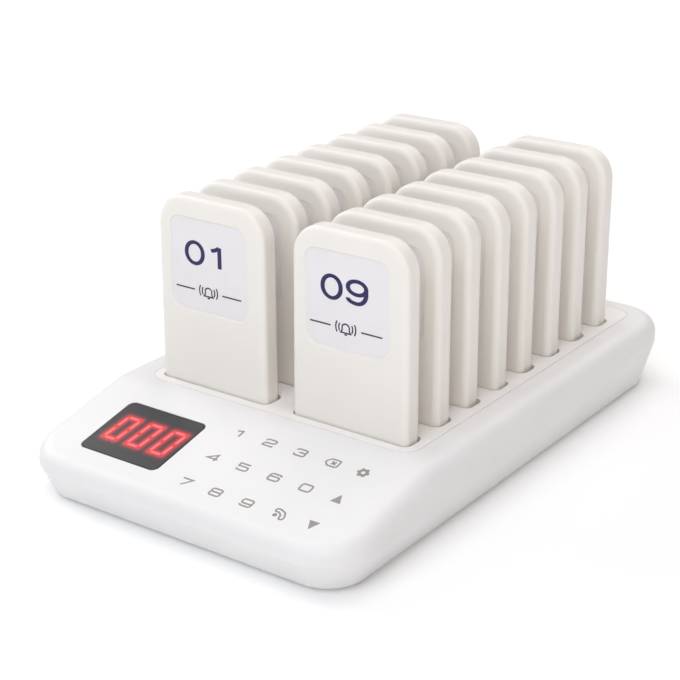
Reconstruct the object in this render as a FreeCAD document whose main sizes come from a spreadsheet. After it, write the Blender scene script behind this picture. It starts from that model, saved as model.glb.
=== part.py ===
"""Guest pager system: a charging base with a touch keypad and sixteen lift-out pagers.

Frame: +X to the right, +Y to the back, +Z up, in millimetres.  The origin is on the table, under the
middle of the charging base.  Driving dimensions are in the spreadsheet "size"; every sketch, feature
and placement is bound to them by expressions.
"""
import FreeCAD
import Part
import math
import os
import Sketcher

Vector = FreeCAD.Vector
Rotation = FreeCAD.Rotation
Placement = FreeCAD.Placement

doc = FreeCAD.newDocument("guest_pager_system")

# ---------------------------------------------------------------------------------------------
# Driving dimensions
# ---------------------------------------------------------------------------------------------

SIZES = [
    # charging base, outside
    ("base_width", 157.0),           # widest outline, left to right
    ("base_depth", 257.4),           # widest outline, front to back
    ("base_corner_radius", 21.0),
    ("deck_height", 32.0),           # level deck above the table
    ("deck_slope", 12.7),            # fall of the keypad deck, degrees
    ("deck_bend_radius", 25.0),      # blend from the level deck to the keypad deck
    ("keypad_deck_length", 58.0),    # level deck's front end to the front edge
    ("rim_radius", 6.8),
    ("rim_inner_bevel", 2.9),        # inside the rounded rim
    ("casing_wall", 2.4),
    ("seam_front_height", 12.6),     # crease between the casings, above the table
    ("seam_rear_height", 21.6),
    ("foot_inset", 5.4),             # how far the lower casing slants in
    ("foot_height", 1.5),
    ("foot_recess", 0.6),
    ("foot_size", 12.0),
    ("foot_clearance", 0.1),
    ("foot_edge_distance", 22.0),
    # dock insert
    ("pager_pitch", 21.7),
    ("column_spacing", 66.7),
    ("first_pager_front", 9.1),      # front pager's face behind the level deck's front end
    ("panel_front_margin", 4.6),     # insert's edge to the front pager's face
    ("panel_side_margin", 4.6),
    ("panel_rear_margin", 15.2),
    ("panel_corner_radius", 8.0),
    ("panel_gap", 0.35),
    ("flange_width", 1.6),
    ("flange_thickness", 2.0),
    ("ear_reach", 4.6),              # ears beyond the flange, for the stakes
    ("ear_width", 6.0),
    ("slot_side_clearance", 0.7),
    ("slot_face_clearance", 0.6),
    ("slot_corner_radius", 3.5),
    ("well_wall", 1.4),
    ("well_floor", 1.6),
    ("well_rib_thickness", 1.4),
    ("well_rib_height", 12.0),
    ("well_rib_offset", 15.0),
    ("stake_width", 2.4),
    ("stake_clearance", 0.15),
    ("stake_head_width", 4.2),
    ("stake_head_height", 1.1),
    # pagers
    ("pager_width", 54.0),
    ("pager_height", 99.0),
    ("pager_thickness", 10.6),
    ("pager_depth_in_well", 20.0),
    ("pager_seat_gap", 0.1),
    ("pager_top_radius", 12.8),
    ("pager_foot_bevel", 4.5),
    ("pager_front_edge_bevel", 2.6),
    ("pager_rear_edge_bevel", 2.4),
    ("pager_parting", 7.0),          # parting line behind the front face
    ("pager_wall", 1.8),
    ("pager_cavity_inset", 2.2),
    ("pager_cavity_corner", 6.6),
    ("pager_ledge", 1.4),            # rear shell's ledge that carries the board
    ("pager_play", 0.5),             # how far a pager can stand to one side in its slot
    ("label_side_margin", 6.95),     # pager's side to the recess, before the recess is offset
    ("label_height", 39.3),
    ("label_corner", 3.6),
    ("label_slope", 1.6),            # width of the recess's sloping sides
    ("label_lip", 0.1),              # upright lip above them
    ("label_recess", 0.7),
    ("label_top_margin", 7.9),
    ("label_offset", -0.45),
    ("pad_pitch", 24.0),             # charging pads, centre to centre
    ("pad_width", 5.0),
    ("pad_depth", 2.2),
    ("pad_height", 5.0),
    ("pad_clearance", 0.1),
    ("pager_board_thickness", 1.0),
    ("pager_board_clearance", 0.2),
    ("battery_width", 34.0),
    ("battery_height", 40.0),
    ("battery_thickness", 3.8),
    ("battery_bottom", 10.0),
    ("motor_width", 12.0),
    ("motor_height", 6.0),
    ("motor_thickness", 3.6),
    ("motor_bottom", 60.0),
    ("sounder_size", 12.0),
    ("sounder_thickness", 3.0),
    ("sounder_bottom", 76.0),
    # keypad and display
    ("display_width", 39.5),
    ("display_depth", 32.7),
    ("display_corner_radius", 3.0),
    ("display_thickness", 1.5),
    ("display_gap", 0.15),
    ("display_ledge", 1.6),
    ("display_x", -36.9),
    ("display_distance", 30.4),      # display's middle down the slope from the level deck's end
    ("display_block_height", 6.6),
    ("display_block_gap", 0.3),
    ("display_board_margin", 3.2),
    ("display_post_width", 3.2),
    ("keypad_board_width", 73.0),
    ("keypad_board_depth", 44.0),
    ("keypad_board_thickness", 1.2),
    ("keypad_x", 27.2),
    ("keypad_distance", 29.8),       # keypad's middle down the slope from the level deck's end
    ("board_thickness", 1.6),
    # casing fastening
    ("boss_radius", 2.6),
    ("boss_side_distance", 9.2),     # boss axis inside the widest outline
    ("boss_bite", 0.8),              # how far a boss reaches into the wall that carries it
    ("pillar_radius", 3.2),
    ("pillar_height", 5.1),
    ("screw_radius", 1.25),
    ("screw_length", 12.0),
    ("screw_head_radius", 2.2),
    ("screw_head_height", 1.8),
    ("screw_clearance", 0.06),
    ("screw_hole_clearance", 0.3),
    ("counterbore_depth", 4.0),
    ("counterbore_clearance", 0.3),
    ("post_width", 5.0),
    ("post_height", 3.2),
    # boards, charging contacts and power inlet
    ("charging_board_width", 116.0),
    ("charging_board_front", 7.0),   # board's front edge before the front pager's face
    ("charging_board_rear", 5.0),    # board's rear edge behind the last pager's rear
    ("control_board_width", 112.0),
    ("control_board_depth", 43.0),
    ("board_joint", 2.0),            # between the control board and the charging board
    ("pin_width", 1.6),
    ("pin_window", 2.8),
    ("pin_gap", 0.05),
    ("inlet_x", -45.0),
    ("inlet_height", 10.0),
    ("inlet_body_width", 8.4),
    ("inlet_clearance", 0.1),
    ("inlet_plate_width", 12.0),
    ("inlet_plate_height", 10.6),
    ("inlet_plate_thickness", 1.4),
    ("inlet_bore_radius", 2.9),
    ("inlet_bore_depth", 9.0),
    ("inlet_pin_radius", 1.0),
    ("inlet_body_length", 11.0),
    ("inlet_recess", 7.0),           # inlet's seat inside the widest outline
    ("inlet_recess_margin", 0.6),
    ("inlet_housing_width", 17.0),
    ("inlet_housing_wall", 3.0),
]
ROWS = 8
COLUMNS = 2
EAR_FRACTIONS = (-0.36, 0.0, 0.30)   # of the insert's depth, from its middle
SHIFTED_PAGERS = (11, 13, 15)        # stand to the left in their slots
PAGER_CORNER_FLATS = 4               # straight steps round a pager's top corner
SLOT_CORNER_FLATS = 3
HIDDEN_BEVEL = 0.75                  # bevel inside a rounded corner, as a share of its radius

sheet = doc.addObject("Spreadsheet::Sheet", "size")
sheet.Label = "size"
for row, (alias, value) in enumerate(SIZES, start=1):
    sheet.set(f"A{row}", alias)
    sheet.set(f"B{row}", str(value))
    sheet.setAlias(f"B{row}", alias)
doc.recompute()

# Derived places, as expressions on the driving dimensions
FRONT = "(-size.base_depth / 2)"
BEND_Y = f"({FRONT} + size.keypad_deck_length)"
FIRST_FACE_Y = f"({BEND_Y} + size.first_pager_front)"
FIRST_PAGER_Y = f"({FIRST_FACE_Y} + size.pager_thickness / 2)"
ROW_SPAN = f"({ROWS - 1} * size.pager_pitch)"
LAST_REAR_Y = f"({FIRST_FACE_Y} + {ROW_SPAN} + size.pager_thickness)"
PANEL_FRONT_Y = f"({FIRST_FACE_Y} - size.panel_front_margin)"
PANEL_REAR_Y = f"({LAST_REAR_Y} + size.panel_rear_margin)"
PANEL_DEPTH = f"({PANEL_REAR_Y} - {PANEL_FRONT_Y})"
PANEL_MIDDLE_Y = f"(({PANEL_REAR_Y} + {PANEL_FRONT_Y}) / 2)"
PANEL_WIDTH = "(size.column_spacing + size.pager_width + 2 * size.panel_side_margin)"
DECK_UNDERSIDE = "(size.deck_height - size.casing_wall)"
FLANGE_UNDERSIDE = f"({DECK_UNDERSIDE} - size.flange_thickness)"
PAGER_FOOT = "(size.deck_height - size.pager_depth_in_well)"
WELL_FLOOR_TOP = f"({PAGER_FOOT} - size.pager_seat_gap)"
WELL_FLOOR_UNDERSIDE = f"({WELL_FLOOR_TOP} - size.well_floor)"
CASING_FLOOR = "(size.foot_height + size.casing_wall)"
POST_TOP = f"({CASING_FLOOR} + size.post_height)"
BOARD_TOP = f"({POST_TOP} + size.board_thickness)"
PILLAR_TOP = f"({CASING_FLOOR} + size.pillar_height)"
SEAM_TILT = "atan((size.seam_rear_height - size.seam_front_height) / size.base_depth)"
SEAM_MIDDLE = "((size.seam_rear_height + size.seam_front_height) / 2)"
SLOT_WIDTH = "(size.pager_width + 2 * size.slot_side_clearance)"
SLOT_DEPTH = "(size.pager_thickness + 2 * size.slot_face_clearance)"
CHARGING_FRONT_Y = f"({FIRST_FACE_Y} - size.charging_board_front)"
CHARGING_REAR_Y = f"({LAST_REAR_Y} + size.charging_board_rear)"
CONTROL_REAR_Y = f"({CHARGING_FRONT_Y} - size.board_joint)"
CONTROL_MIDDLE_Y = f"({CONTROL_REAR_Y} - size.control_board_depth / 2)"
INLET_SEAT_Y = "(size.base_depth / 2 - size.inlet_recess)"
PARTING_Y = "(size.pager_parting - size.pager_thickness / 2)"
PAD_Y = f"({PARTING_Y} - size.pager_board_thickness - size.pad_depth / 2)"
LABEL_WIDTH = "(size.pager_width - 2 * size.label_side_margin)"


# ---------------------------------------------------------------------------------------------
# Helpers
# ---------------------------------------------------------------------------------------------

def number(expression):
    """Present value of an expression on the sheet."""
    result = sheet.evalExpression(expression)
    return float(getattr(result, "Value", result))


def require_good(item):
    """Stop if a computed object is in error or has no valid shape."""
    if {"Invalid", "Error"} & set(item.State) or item.Shape.isNull() or not item.Shape.isValid():
        raise RuntimeError(f"{item.Name}: {item.getStatusString()}")


def body_named(name):
    """New PartDesign body whose label names its file."""
    body = doc.addObject("PartDesign::Body", name)
    body.Label = name
    return body


def origin_feature(body, role):
    """Origin plane or axis of a body, found by its role."""
    return next(item for item in body.Origin.OriginFeatures if item.Role == role)


def bind(feature, settings):
    """Bind properties to expressions, or set plain values."""
    for key, setting in settings.items():
        if isinstance(setting, str):
            feature.setExpression(key, setting)
        else:
            setattr(feature, key, setting)


def place(item, base, tilt=None):
    """Bind an object's placement to three expressions and, if wanted, a turn about +X."""
    if tilt:
        item.Placement = Placement(Vector(), Rotation(Vector(1, 0, 0), number(tilt)))
        item.setExpression("Placement.Rotation.Angle", tilt)
    for axis, part in zip("xyz", base):
        item.setExpression(f"Placement.Base.{axis}", part)


def sketch_on(body, role, name, base=("0", "0", "0"), tilt=None):
    """Sketch attached to an origin plane, moved by base and turned about its own X axis by tilt."""
    sketch = body.newObject("Sketcher::SketchObject", name)
    sketch.AttachmentSupport = [(origin_feature(body, role), "")]
    sketch.MapMode = "FlatFace"
    start = Vector(*[number(part) for part in base])
    angle = number(tilt) if tilt else 0.0
    sketch.AttachmentOffset = Placement(start, Rotation(Vector(1, 0, 0), angle))
    for axis, part in zip("xyz", base):
        sketch.setExpression(f"AttachmentOffset.Base.{axis}", part)
    if tilt:
        sketch.setExpression("AttachmentOffset.Rotation.Angle", tilt)
    return sketch


def constrain(sketch, name, expression, *constraint):
    """Named dimension bound to an expression."""
    index = sketch.addConstraint(Sketcher.Constraint(*constraint, number(expression)))
    sketch.renameConstraint(index, name)
    sketch.setExpression(f"Constraints.{name}", expression)


def place_point(sketch, geometry, point, x, y, name):
    """Fix a point of the sketch at two expressions measured from its origin."""
    for axis, constraint, expression in ((-2, "DistanceX", x), (-1, "DistanceY", y)):
        distance = number(expression)
        label = f"{name}_{constraint[-1].lower()}"
        if abs(distance) < 1e-9:
            sketch.addConstraint(Sketcher.Constraint("PointOnObject", geometry, point, axis))
        elif distance > 0:
            constrain(sketch, label, expression, constraint, -1, 1, geometry, point)
        else:
            constrain(sketch, label, f"-({expression})", constraint, geometry, point, -1, 1)


def rounded_rectangle(sketch, width, depth, radius):
    """Rectangle with four equal tangent corner arcs, centred on the sketch's origin."""
    half_w, half_d, corner = number(width) / 2, number(depth) / 2, number(radius)
    inner_w, inner_d = half_w - corner, half_d - corner
    ends = [((-inner_w, -half_d), (inner_w, -half_d)), ((half_w, -inner_d), (half_w, inner_d)),
            ((inner_w, half_d), (-inner_w, half_d)), ((-half_w, inner_d), (-half_w, -inner_d))]
    centres = [(inner_w, -inner_d), (inner_w, inner_d), (-inner_w, inner_d), (-inner_w, -inner_d)]
    lines = [sketch.addGeometry(Part.LineSegment(Vector(*a, 0), Vector(*b, 0))) for a, b in ends]
    arcs = []
    for index, centre in enumerate(centres):
        circle = Part.Circle(Vector(*centre, 0), Vector(0, 0, 1), corner)
        start = math.pi / 2 * (index - 1)
        arcs.append(sketch.addGeometry(Part.ArcOfCircle(circle, start, start + math.pi / 2)))
    for index in range(4):
        sketch.addConstraint(Sketcher.Constraint("Tangent", lines[index], 2, arcs[index], 1))
        following = lines[(index + 1) % 4]
        sketch.addConstraint(Sketcher.Constraint("Tangent", arcs[index], 2, following, 1))
    for index in (0, 2):
        sketch.addConstraint(Sketcher.Constraint("Horizontal", lines[index]))
    for index in (1, 3):
        sketch.addConstraint(Sketcher.Constraint("Vertical", lines[index]))
    for index in (1, 2, 3):
        sketch.addConstraint(Sketcher.Constraint("Equal", arcs[0], arcs[index]))
    sketch.addConstraint(Sketcher.Constraint("Symmetric", arcs[0], 3, arcs[2], 3, -1, 1))
    constrain(sketch, "corner", radius, "Radius", arcs[0])
    constrain(sketch, "width", width, "DistanceX", lines[3], 1, lines[1], 1)
    constrain(sketch, "depth", depth, "DistanceY", lines[0], 1, lines[2], 1)


def circles(sketch, radius, centres):
    """Equal circles at centres given as pairs of expressions."""
    for index, (x, y) in enumerate(centres):
        centre = Vector(number(x), number(y), 0)
        circle = sketch.addGeometry(Part.Circle(centre, Vector(0, 0, 1), number(radius)))
        constrain(sketch, f"radius_{index}", radius, "Radius", circle)
        place_point(sketch, circle, 3, x, y, f"centre_{index}")


def polygon(sketch, corners, name="corner"):
    """Closed outline through corners given as pairs of expressions."""
    points = [Vector(number(x), number(y), 0) for x, y in corners]
    count = len(points)
    lines = [sketch.addGeometry(Part.LineSegment(points[index], points[(index + 1) % count]))
             for index in range(count)]
    for index in range(count):
        following = lines[(index + 1) % count]
        sketch.addConstraint(Sketcher.Constraint("Coincident", lines[index], 2, following, 1))
    for index, (x, y) in enumerate(corners):
        place_point(sketch, lines[index], 1, x, y, f"{name}_{index}")


def rectangles(sketch, width, depth, centres):
    """Equal rectangles at centres given as pairs of expressions."""
    for index, (x, y) in enumerate(centres):
        polygon(sketch, [(f"({x}) - ({width}) / 2", f"({y}) - ({depth}) / 2"),
                         (f"({x}) + ({width}) / 2", f"({y}) - ({depth}) / 2"),
                         (f"({x}) + ({width}) / 2", f"({y}) + ({depth}) / 2"),
                         (f"({x}) - ({width}) / 2", f"({y}) + ({depth}) / 2")], f"box_{index}")


def around(x, y, radius, angle):
    """Point at a distance and an angle from another, as a pair of expressions."""
    return (f"({x}) + ({math.cos(angle):.6f}) * ({radius})",
            f"({y}) + ({math.sin(angle):.6f}) * ({radius})")


def hexagons(sketch, radius, centres):
    """Equal hexagons by their corners' distance from centres given as pairs of expressions."""
    for index, (x, y) in enumerate(centres):
        polygon(sketch, [around(x, y, radius, math.pi / 3 * step) for step in range(6)],
                f"hexagon_{index}")


def corner_points(x, y, radius, quadrant, flats):
    """Corner turned about its centre in straight steps; a single flat is a bevel."""
    return [around(x, y, radius, math.pi / 2 * (quadrant - 1 + step / flats))
            for step in range(flats + 1)]


def cornered_rectangle(sketch, width, depth, corner, flats=1):
    """Rectangle about the sketch's origin with its corners cut in flats."""
    across, along = f"(({width}) / 2 - ({corner}))", f"(({depth}) / 2 - ({corner}))"
    outline = []
    for quadrant, (right, up) in enumerate(((1, -1), (1, 1), (-1, 1), (-1, -1))):
        outline += corner_points(f"({right}) * {across}", f"({up}) * {along}", corner, quadrant, flats)
    polygon(sketch, outline)


def pager_outline(sketch, inset, top_corner, flats):
    """Pager's front view, inset all round: bevelled foot corners and top corners cut in flats."""
    foot = "size.pager_foot_bevel"
    half, top = f"(size.pager_width / 2 - {inset})", f"(size.pager_height - {inset})"
    at_foot = (f"{inset} + {foot}", foot, 1)
    at_top = (f"{top} - {top_corner}", top_corner, flats)
    outline = []
    for quadrant, (side, (y, corner, count)) in enumerate(zip((1, 1, -1, -1),
                                                              (at_foot, at_top, at_top, at_foot))):
        outline += corner_points(f"({side}) * ({half} - {corner})", y, corner, quadrant, count)
    polygon(sketch, outline)


def grow(body, kind, profile, **settings):
    """Additive feature on a profile; stops if the body gains nothing."""
    return feature_on(body, kind, profile, 1, settings)


def cut(body, kind, profile, **settings):
    """Subtractive feature on a profile; stops if the body loses nothing."""
    return feature_on(body, kind, profile, -1, settings)


def feature_on(body, kind, profile, sign, settings):
    """Feature of a kind on a profile, checked by what it does to the volume."""
    doc.recompute()
    before = body.Shape.Volume if body.Tip else 0.0
    feature = body.newObject(f"PartDesign::{kind}", f"{body.Name}_{kind.lower()}")
    feature.Profile = profile
    bind(feature, settings)
    doc.recompute()
    require_change(body, feature, before, sign)
    return feature


def require_change(body, feature, before, sign):
    """Stop unless the feature is good and the volume went the right way."""
    require_good(feature)
    if (body.Shape.Volume - before) * sign <= 1e-6:
        raise RuntimeError(f"{feature.Name} changed the volume from {before} to {body.Shape.Volume}")


def repeat_rows(body, feature, sign):
    """Linear pattern of a feature over the eight rows of wells."""
    before = body.Shape.Volume
    pattern = body.newObject("PartDesign::LinearPattern", f"{feature.Name}_row")
    pattern.Originals = [feature]
    pattern.Direction = (origin_feature(body, "Y_Axis"), [""])
    pattern.setExpression("Length", ROW_SPAN)
    pattern.Occurrences = ROWS
    body.Tip = pattern
    doc.recompute()
    require_change(body, pattern, before, sign)
    return pattern


def edges_where(shape, test):
    """Names of the edges that pass a test on their middle point and direction there."""
    names = []
    for index, edge in enumerate(shape.Edges, start=1):
        parameter = (edge.FirstParameter + edge.LastParameter) / 2
        if test(edge.valueAt(parameter), edge.tangentAt(parameter)):
            names.append(f"Edge{index}")
    return names


def faces_where(shape, test):
    """Names of the flat faces that pass a test."""
    return [f"Face{index}" for index, face in enumerate(shape.Faces, start=1)
            if face.Surface.TypeId == "Part::GeomPlane" and test(face)]


def dress(body, kind, names, **settings):
    """Fillet, chamfer or thickness on named edges or faces of the tip."""
    if not names:
        raise RuntimeError(f"{body.Name}: nothing found for {kind}")
    tip = body.Tip
    feature = body.newObject(f"PartDesign::{kind}", f"{body.Name}_{kind.lower()}")
    feature.Base = (tip, names)
    bind(feature, settings)
    doc.recompute()
    require_good(feature)
    return feature


def copy_of(original, name, base):
    """Linked copy of an object at its own place."""
    link = doc.addObject("App::Link", name)
    link.LinkedObject = original
    link.Label = name
    place(link, base)
    return link


def group_of(name, members):
    """Group of solids that share one node."""
    group = doc.addObject("Part::Compound", name)
    group.Label = name
    group.Links = members
    doc.recompute()
    require_good(group)
    return group


def box(name, extent, corner, tilt=None):
    """Rectangular block by its size and its lowest corner, turned about +X through that corner."""
    block = doc.addObject("Part::Box", name)
    bind(block, dict(zip(("Length", "Width", "Height"), extent)))
    place(block, corner, tilt)
    return block


def slope_place(x, distance, depth="0"):
    """Point of the keypad deck: x across, distance down the slope, depth below its surface."""
    y = f"({BEND_Y} - ({distance}) * cos(size.deck_slope) + ({depth}) * sin(size.deck_slope))"
    z = f"(size.deck_height - ({distance}) * sin(size.deck_slope) - ({depth}) * cos(size.deck_slope))"
    return x, y, z


def column_x(column):
    """Middle of a column of pagers."""
    return f"({column - (COLUMNS - 1) / 2} * size.column_spacing)"


# ---------------------------------------------------------------------------------------------
# Charging base
# ---------------------------------------------------------------------------------------------

def boss_places():
    """Axes of the four casing screws: two near the front and two near the back."""
    side = "(size.base_width / 2 - size.boss_side_distance)"
    rows = [f"({FRONT} + size.base_corner_radius)", "(size.base_depth / 2 - size.base_corner_radius)"]
    return [[(f"({sign} * {side})", y) for sign in (-1, 1)] for y in rows]


def ear_places():
    """Axes of the six stakes that hold the dock insert under the deck."""
    side = f"({PANEL_WIDTH} / 2 + size.flange_width + size.ear_reach / 2)"
    return [(f"({sign} * {side})", f"({PANEL_MIDDLE_Y} + ({fraction}) * {PANEL_DEPTH})")
            for fraction in EAR_FRACTIONS for sign in (-1, 1)]


def bend_edges(shape, level):
    """Edge across the casing where the level deck meets the keypad deck, at a height."""
    bend_y, height = number(BEND_Y), number(level)
    return edges_where(shape, lambda middle, direction: abs(middle.y - bend_y) < 1.0
                       and abs(middle.x) < 1.0 and abs(middle.z - height) < 0.01)


def outline_edges(shape, inset):
    """Edges above the foot that run round the base's outline, inset all round."""
    lowest = number("size.foot_height") + 1.0
    radius = number("size.base_corner_radius")
    inner_x, inner_y = number("size.base_width / 2") - radius, number("size.base_depth / 2") - radius

    def follows(middle, direction):
        reach = math.hypot(max(abs(middle.x) - inner_x, 0.0), max(abs(middle.y) - inner_y, 0.0))
        return (middle.z > lowest and abs(direction.z) < 0.5
                and abs(reach - radius + number(inset)) < 0.05)

    return edges_where(shape, follows)


def make_top_casing():
    """Upper shell: level deck, keypad deck, rounded rim, openings, bosses, posts and stakes."""
    body = body_named("top_casing")
    outline = sketch_on(body, "XY_Plane", "casing_outline", ("0", "0", "size.foot_height"))
    rounded_rectangle(outline, "size.base_width", "size.base_depth", "size.base_corner_radius")
    grow(body, "Pad", outline, Length="size.deck_height - size.foot_height")
    margin = 20.0
    slope = sketch_on(body, "YZ_Plane", "casing_slope")
    front_y = f"({FRONT} - {margin})"
    drop = f"((size.keypad_deck_length + {margin}) * tan(size.deck_slope))"
    polygon(slope, [(BEND_Y, "size.deck_height"), (front_y, f"size.deck_height - {drop}"),
                    (front_y, f"size.deck_height + {margin}"),
                    (BEND_Y, f"size.deck_height + {margin}")])
    cut(body, "Pocket", slope, Type=1, Midplane=True)
    dress(body, "Thickness", faces_where(body.Shape, lambda face: face.normalAt(0, 0).z < -0.99),
          Value="size.casing_wall", Reversed=True)
    dress(body, "Fillet", bend_edges(body.Shape, DECK_UNDERSIDE),
          Radius="size.deck_bend_radius - size.casing_wall")
    dress(body, "Fillet", bend_edges(body.Shape, "size.deck_height"), Radius="size.deck_bend_radius")
    dress(body, "Chamfer", outline_edges(body.Shape, "size.casing_wall"), Size="size.rim_inner_bevel")
    dress(body, "Fillet", outline_edges(body.Shape, "0"), Radius="size.rim_radius")
    seam = sketch_on(body, "YZ_Plane", "top_casing_seam")
    reach = f"(size.base_depth / 2 + {margin})"
    polygon(seam, [(f"-{reach}", f"{SEAM_MIDDLE} - {reach} * tan({SEAM_TILT})"),
                   (f"-{reach}", f"-{margin}"), (reach, f"-{margin}"),
                   (reach, f"{SEAM_MIDDLE} + {reach} * tan({SEAM_TILT})")])
    cut(body, "Pocket", seam, Type=1, Midplane=True)

    opening = sketch_on(body, "XY_Plane", "insert_opening", ("0", PANEL_MIDDLE_Y, "size.deck_height"))
    rounded_rectangle(opening, f"{PANEL_WIDTH} + 2 * size.panel_gap", f"{PANEL_DEPTH} + 2 * size.panel_gap",
                      "size.panel_corner_radius + size.panel_gap")
    cut(body, "Pocket", opening, Length="2 * size.casing_wall")

    window = slope_place("size.display_x", "size.display_distance")
    rebate = sketch_on(body, "XY_Plane", "window_rebate", window, "size.deck_slope")
    rounded_rectangle(rebate, "size.display_width + 2 * size.display_gap",
                      "size.display_depth + 2 * size.display_gap",
                      "size.display_corner_radius + size.display_gap")
    cut(body, "Pocket", rebate, Length="size.display_thickness")
    hole = sketch_on(body, "XY_Plane", "window_hole", window, "size.deck_slope")
    rectangles(hole, "size.display_width - 2 * size.display_ledge",
               "size.display_depth - 2 * size.display_ledge", [("0", "0")])
    cut(body, "Pocket", hole, Length="2 * size.casing_wall")

    board_depth = "(size.display_thickness + size.display_block_height)"
    posts = sketch_on(body, "XY_Plane", "display_posts",
                      slope_place("size.display_x", "size.display_distance", board_depth), "size.deck_slope")
    across = "(size.display_width / 2 + size.display_board_margin - size.display_post_width / 2)"
    along = "(size.display_depth / 2 - size.display_post_width / 2)"
    rectangles(posts, "size.display_post_width", "size.display_post_width",
               [(f"{sx} * {across}", f"{sy} * {along}") for sx in (-1, 1) for sy in (-1, 1)])
    grow(body, "Pad", posts, Length=f"{board_depth} - size.casing_wall + size.boss_bite")

    front_y = f"({FRONT} + size.base_corner_radius)"
    slope_underside = (f"(size.deck_height - ({BEND_Y} - {front_y}) * tan(size.deck_slope)"
                       " - size.casing_wall / cos(size.deck_slope))")
    for place_pair, top in zip(boss_places(), (slope_underside, DECK_UNDERSIDE)):
        bosses = sketch_on(body, "XY_Plane", "casing_bosses", ("0", "0", PILLAR_TOP))
        hexagons(bosses, "size.boss_radius", place_pair)
        grow(body, "Pad", bosses, Length=f"{top} + size.boss_bite - {PILLAR_TOP}")
        pilots = sketch_on(body, "XY_Plane", "pilot_holes", ("0", "0", PILLAR_TOP))
        hexagons(pilots, "size.screw_radius + size.screw_clearance", place_pair)
        cut(body, "Pocket", pilots, Length="size.screw_length", Reversed=True)

    stakes = sketch_on(body, "XY_Plane", "stakes",
                       ("0", "0", f"{FLANGE_UNDERSIDE} - size.stake_head_height"))
    rectangles(stakes, "size.stake_width", "size.stake_width", ear_places())
    grow(body, "Pad", stakes,
         Length="size.stake_head_height + size.flange_thickness + size.boss_bite")
    heads = sketch_on(body, "XY_Plane", "stake_heads", ("0", "0", FLANGE_UNDERSIDE))
    rectangles(heads, "size.stake_head_width", "size.stake_head_width", ear_places())
    grow(body, "Pad", heads, Length="size.stake_head_height", Reversed=True)
    return body


def make_dock_insert():
    """Insert with sixteen wells: the slots guide the pagers, the floors stop them."""
    body = body_named("dock_insert")
    centre = ("0", PANEL_MIDDLE_Y)
    flange = sketch_on(body, "XY_Plane", "flange", (*centre, FLANGE_UNDERSIDE))
    cornered_rectangle(flange, f"{PANEL_WIDTH} + 2 * size.flange_width",
                       f"{PANEL_DEPTH} + 2 * size.flange_width", "size.panel_corner_radius / 2")
    grow(body, "Pad", flange, Length="size.flange_thickness")
    ears = sketch_on(body, "XY_Plane", "ears", ("0", "0", FLANGE_UNDERSIDE))
    rectangles(ears, "2 * size.ear_reach", "size.ear_width",
               [(f"({x}) - ({'' if x.startswith('(1') else '-'}size.ear_reach / 2)", y)
                for x, y in ear_places()])
    grow(body, "Pad", ears, Length="size.flange_thickness")
    hollow = sketch_on(body, "XY_Plane", "flange_hollow", (*centre, FLANGE_UNDERSIDE))
    cornered_rectangle(hollow, f"{PANEL_WIDTH} - 2 * size.flange_width",
                       f"{PANEL_DEPTH} - 2 * size.flange_width",
                       f"{HIDDEN_BEVEL} * (size.panel_corner_radius - size.flange_width)")
    cut(body, "Pocket", hollow, Length="size.flange_thickness", Reversed=True)
    panel = sketch_on(body, "XY_Plane", "panel", (*centre, DECK_UNDERSIDE))
    rounded_rectangle(panel, PANEL_WIDTH, PANEL_DEPTH, "size.panel_corner_radius")
    grow(body, "Pad", panel, Length="size.casing_wall")

    wells = sketch_on(body, "XY_Plane", "wells", ("0", FIRST_PAGER_Y, WELL_FLOOR_UNDERSIDE))
    rectangles(wells, f"{SLOT_WIDTH} + 2 * size.well_wall", f"{SLOT_DEPTH} + 2 * size.well_wall",
               [(column_x(column), "0") for column in range(COLUMNS)])
    well = grow(body, "Pad", wells,
                Length=f"{DECK_UNDERSIDE} + size.casing_wall / 2 - {WELL_FLOOR_UNDERSIDE}")
    repeat_rows(body, well, 1)
    ribs = sketch_on(body, "XY_Plane", "well_ribs",
                     ("0", f"{FIRST_PAGER_Y} + {ROW_SPAN} / 2", DECK_UNDERSIDE))
    rectangles(ribs, "size.well_rib_thickness", ROW_SPAN,
               [(f"{column_x(column)} + {side} * size.well_rib_offset", "0")
                for column in range(COLUMNS) for side in (-1, 1)])
    grow(body, "Pad", ribs, Length="size.well_rib_height", Reversed=True)
    for column in range(COLUMNS):
        slot = sketch_on(body, "XY_Plane", "slot", (column_x(column), FIRST_PAGER_Y, WELL_FLOOR_TOP))
        cornered_rectangle(slot, SLOT_WIDTH, SLOT_DEPTH, "size.slot_corner_radius", SLOT_CORNER_FLATS)
        opened = cut(body, "Pocket", slot, Length="2 * size.pager_depth_in_well", Reversed=True)
        repeat_rows(body, opened, -1)
    windows = sketch_on(body, "XY_Plane", "pin_windows",
                        ("0", f"{FIRST_PAGER_Y} + {PAD_Y}", WELL_FLOOR_TOP))
    rectangles(windows, "size.pin_window", "size.pin_window",
               [(f"{column_x(column)} + {side} * size.pad_pitch / 2", "0")
                for column in range(COLUMNS) for side in (-1, 1)])
    pierced = cut(body, "Pocket", windows, Length="2 * size.well_floor")
    repeat_rows(body, pierced, -1)
    holes = sketch_on(body, "XY_Plane", "stake_holes", ("0", "0", FLANGE_UNDERSIDE))
    hole = "size.stake_width + 2 * size.stake_clearance"
    rectangles(holes, hole, hole, ear_places())
    cut(body, "Pocket", holes, Length="2 * size.flange_thickness", Reversed=True)
    return body


def charging_posts():
    """Axes of the posts under the charging board."""
    rows = [f"({FIRST_FACE_Y} + {step} * size.pager_pitch - size.pager_pitch / 4)" for step in (0, 4, 7)]
    return [(f"({side} * size.charging_board_width / 2.2)", y) for y in rows for side in (-1, 1)]


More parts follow.
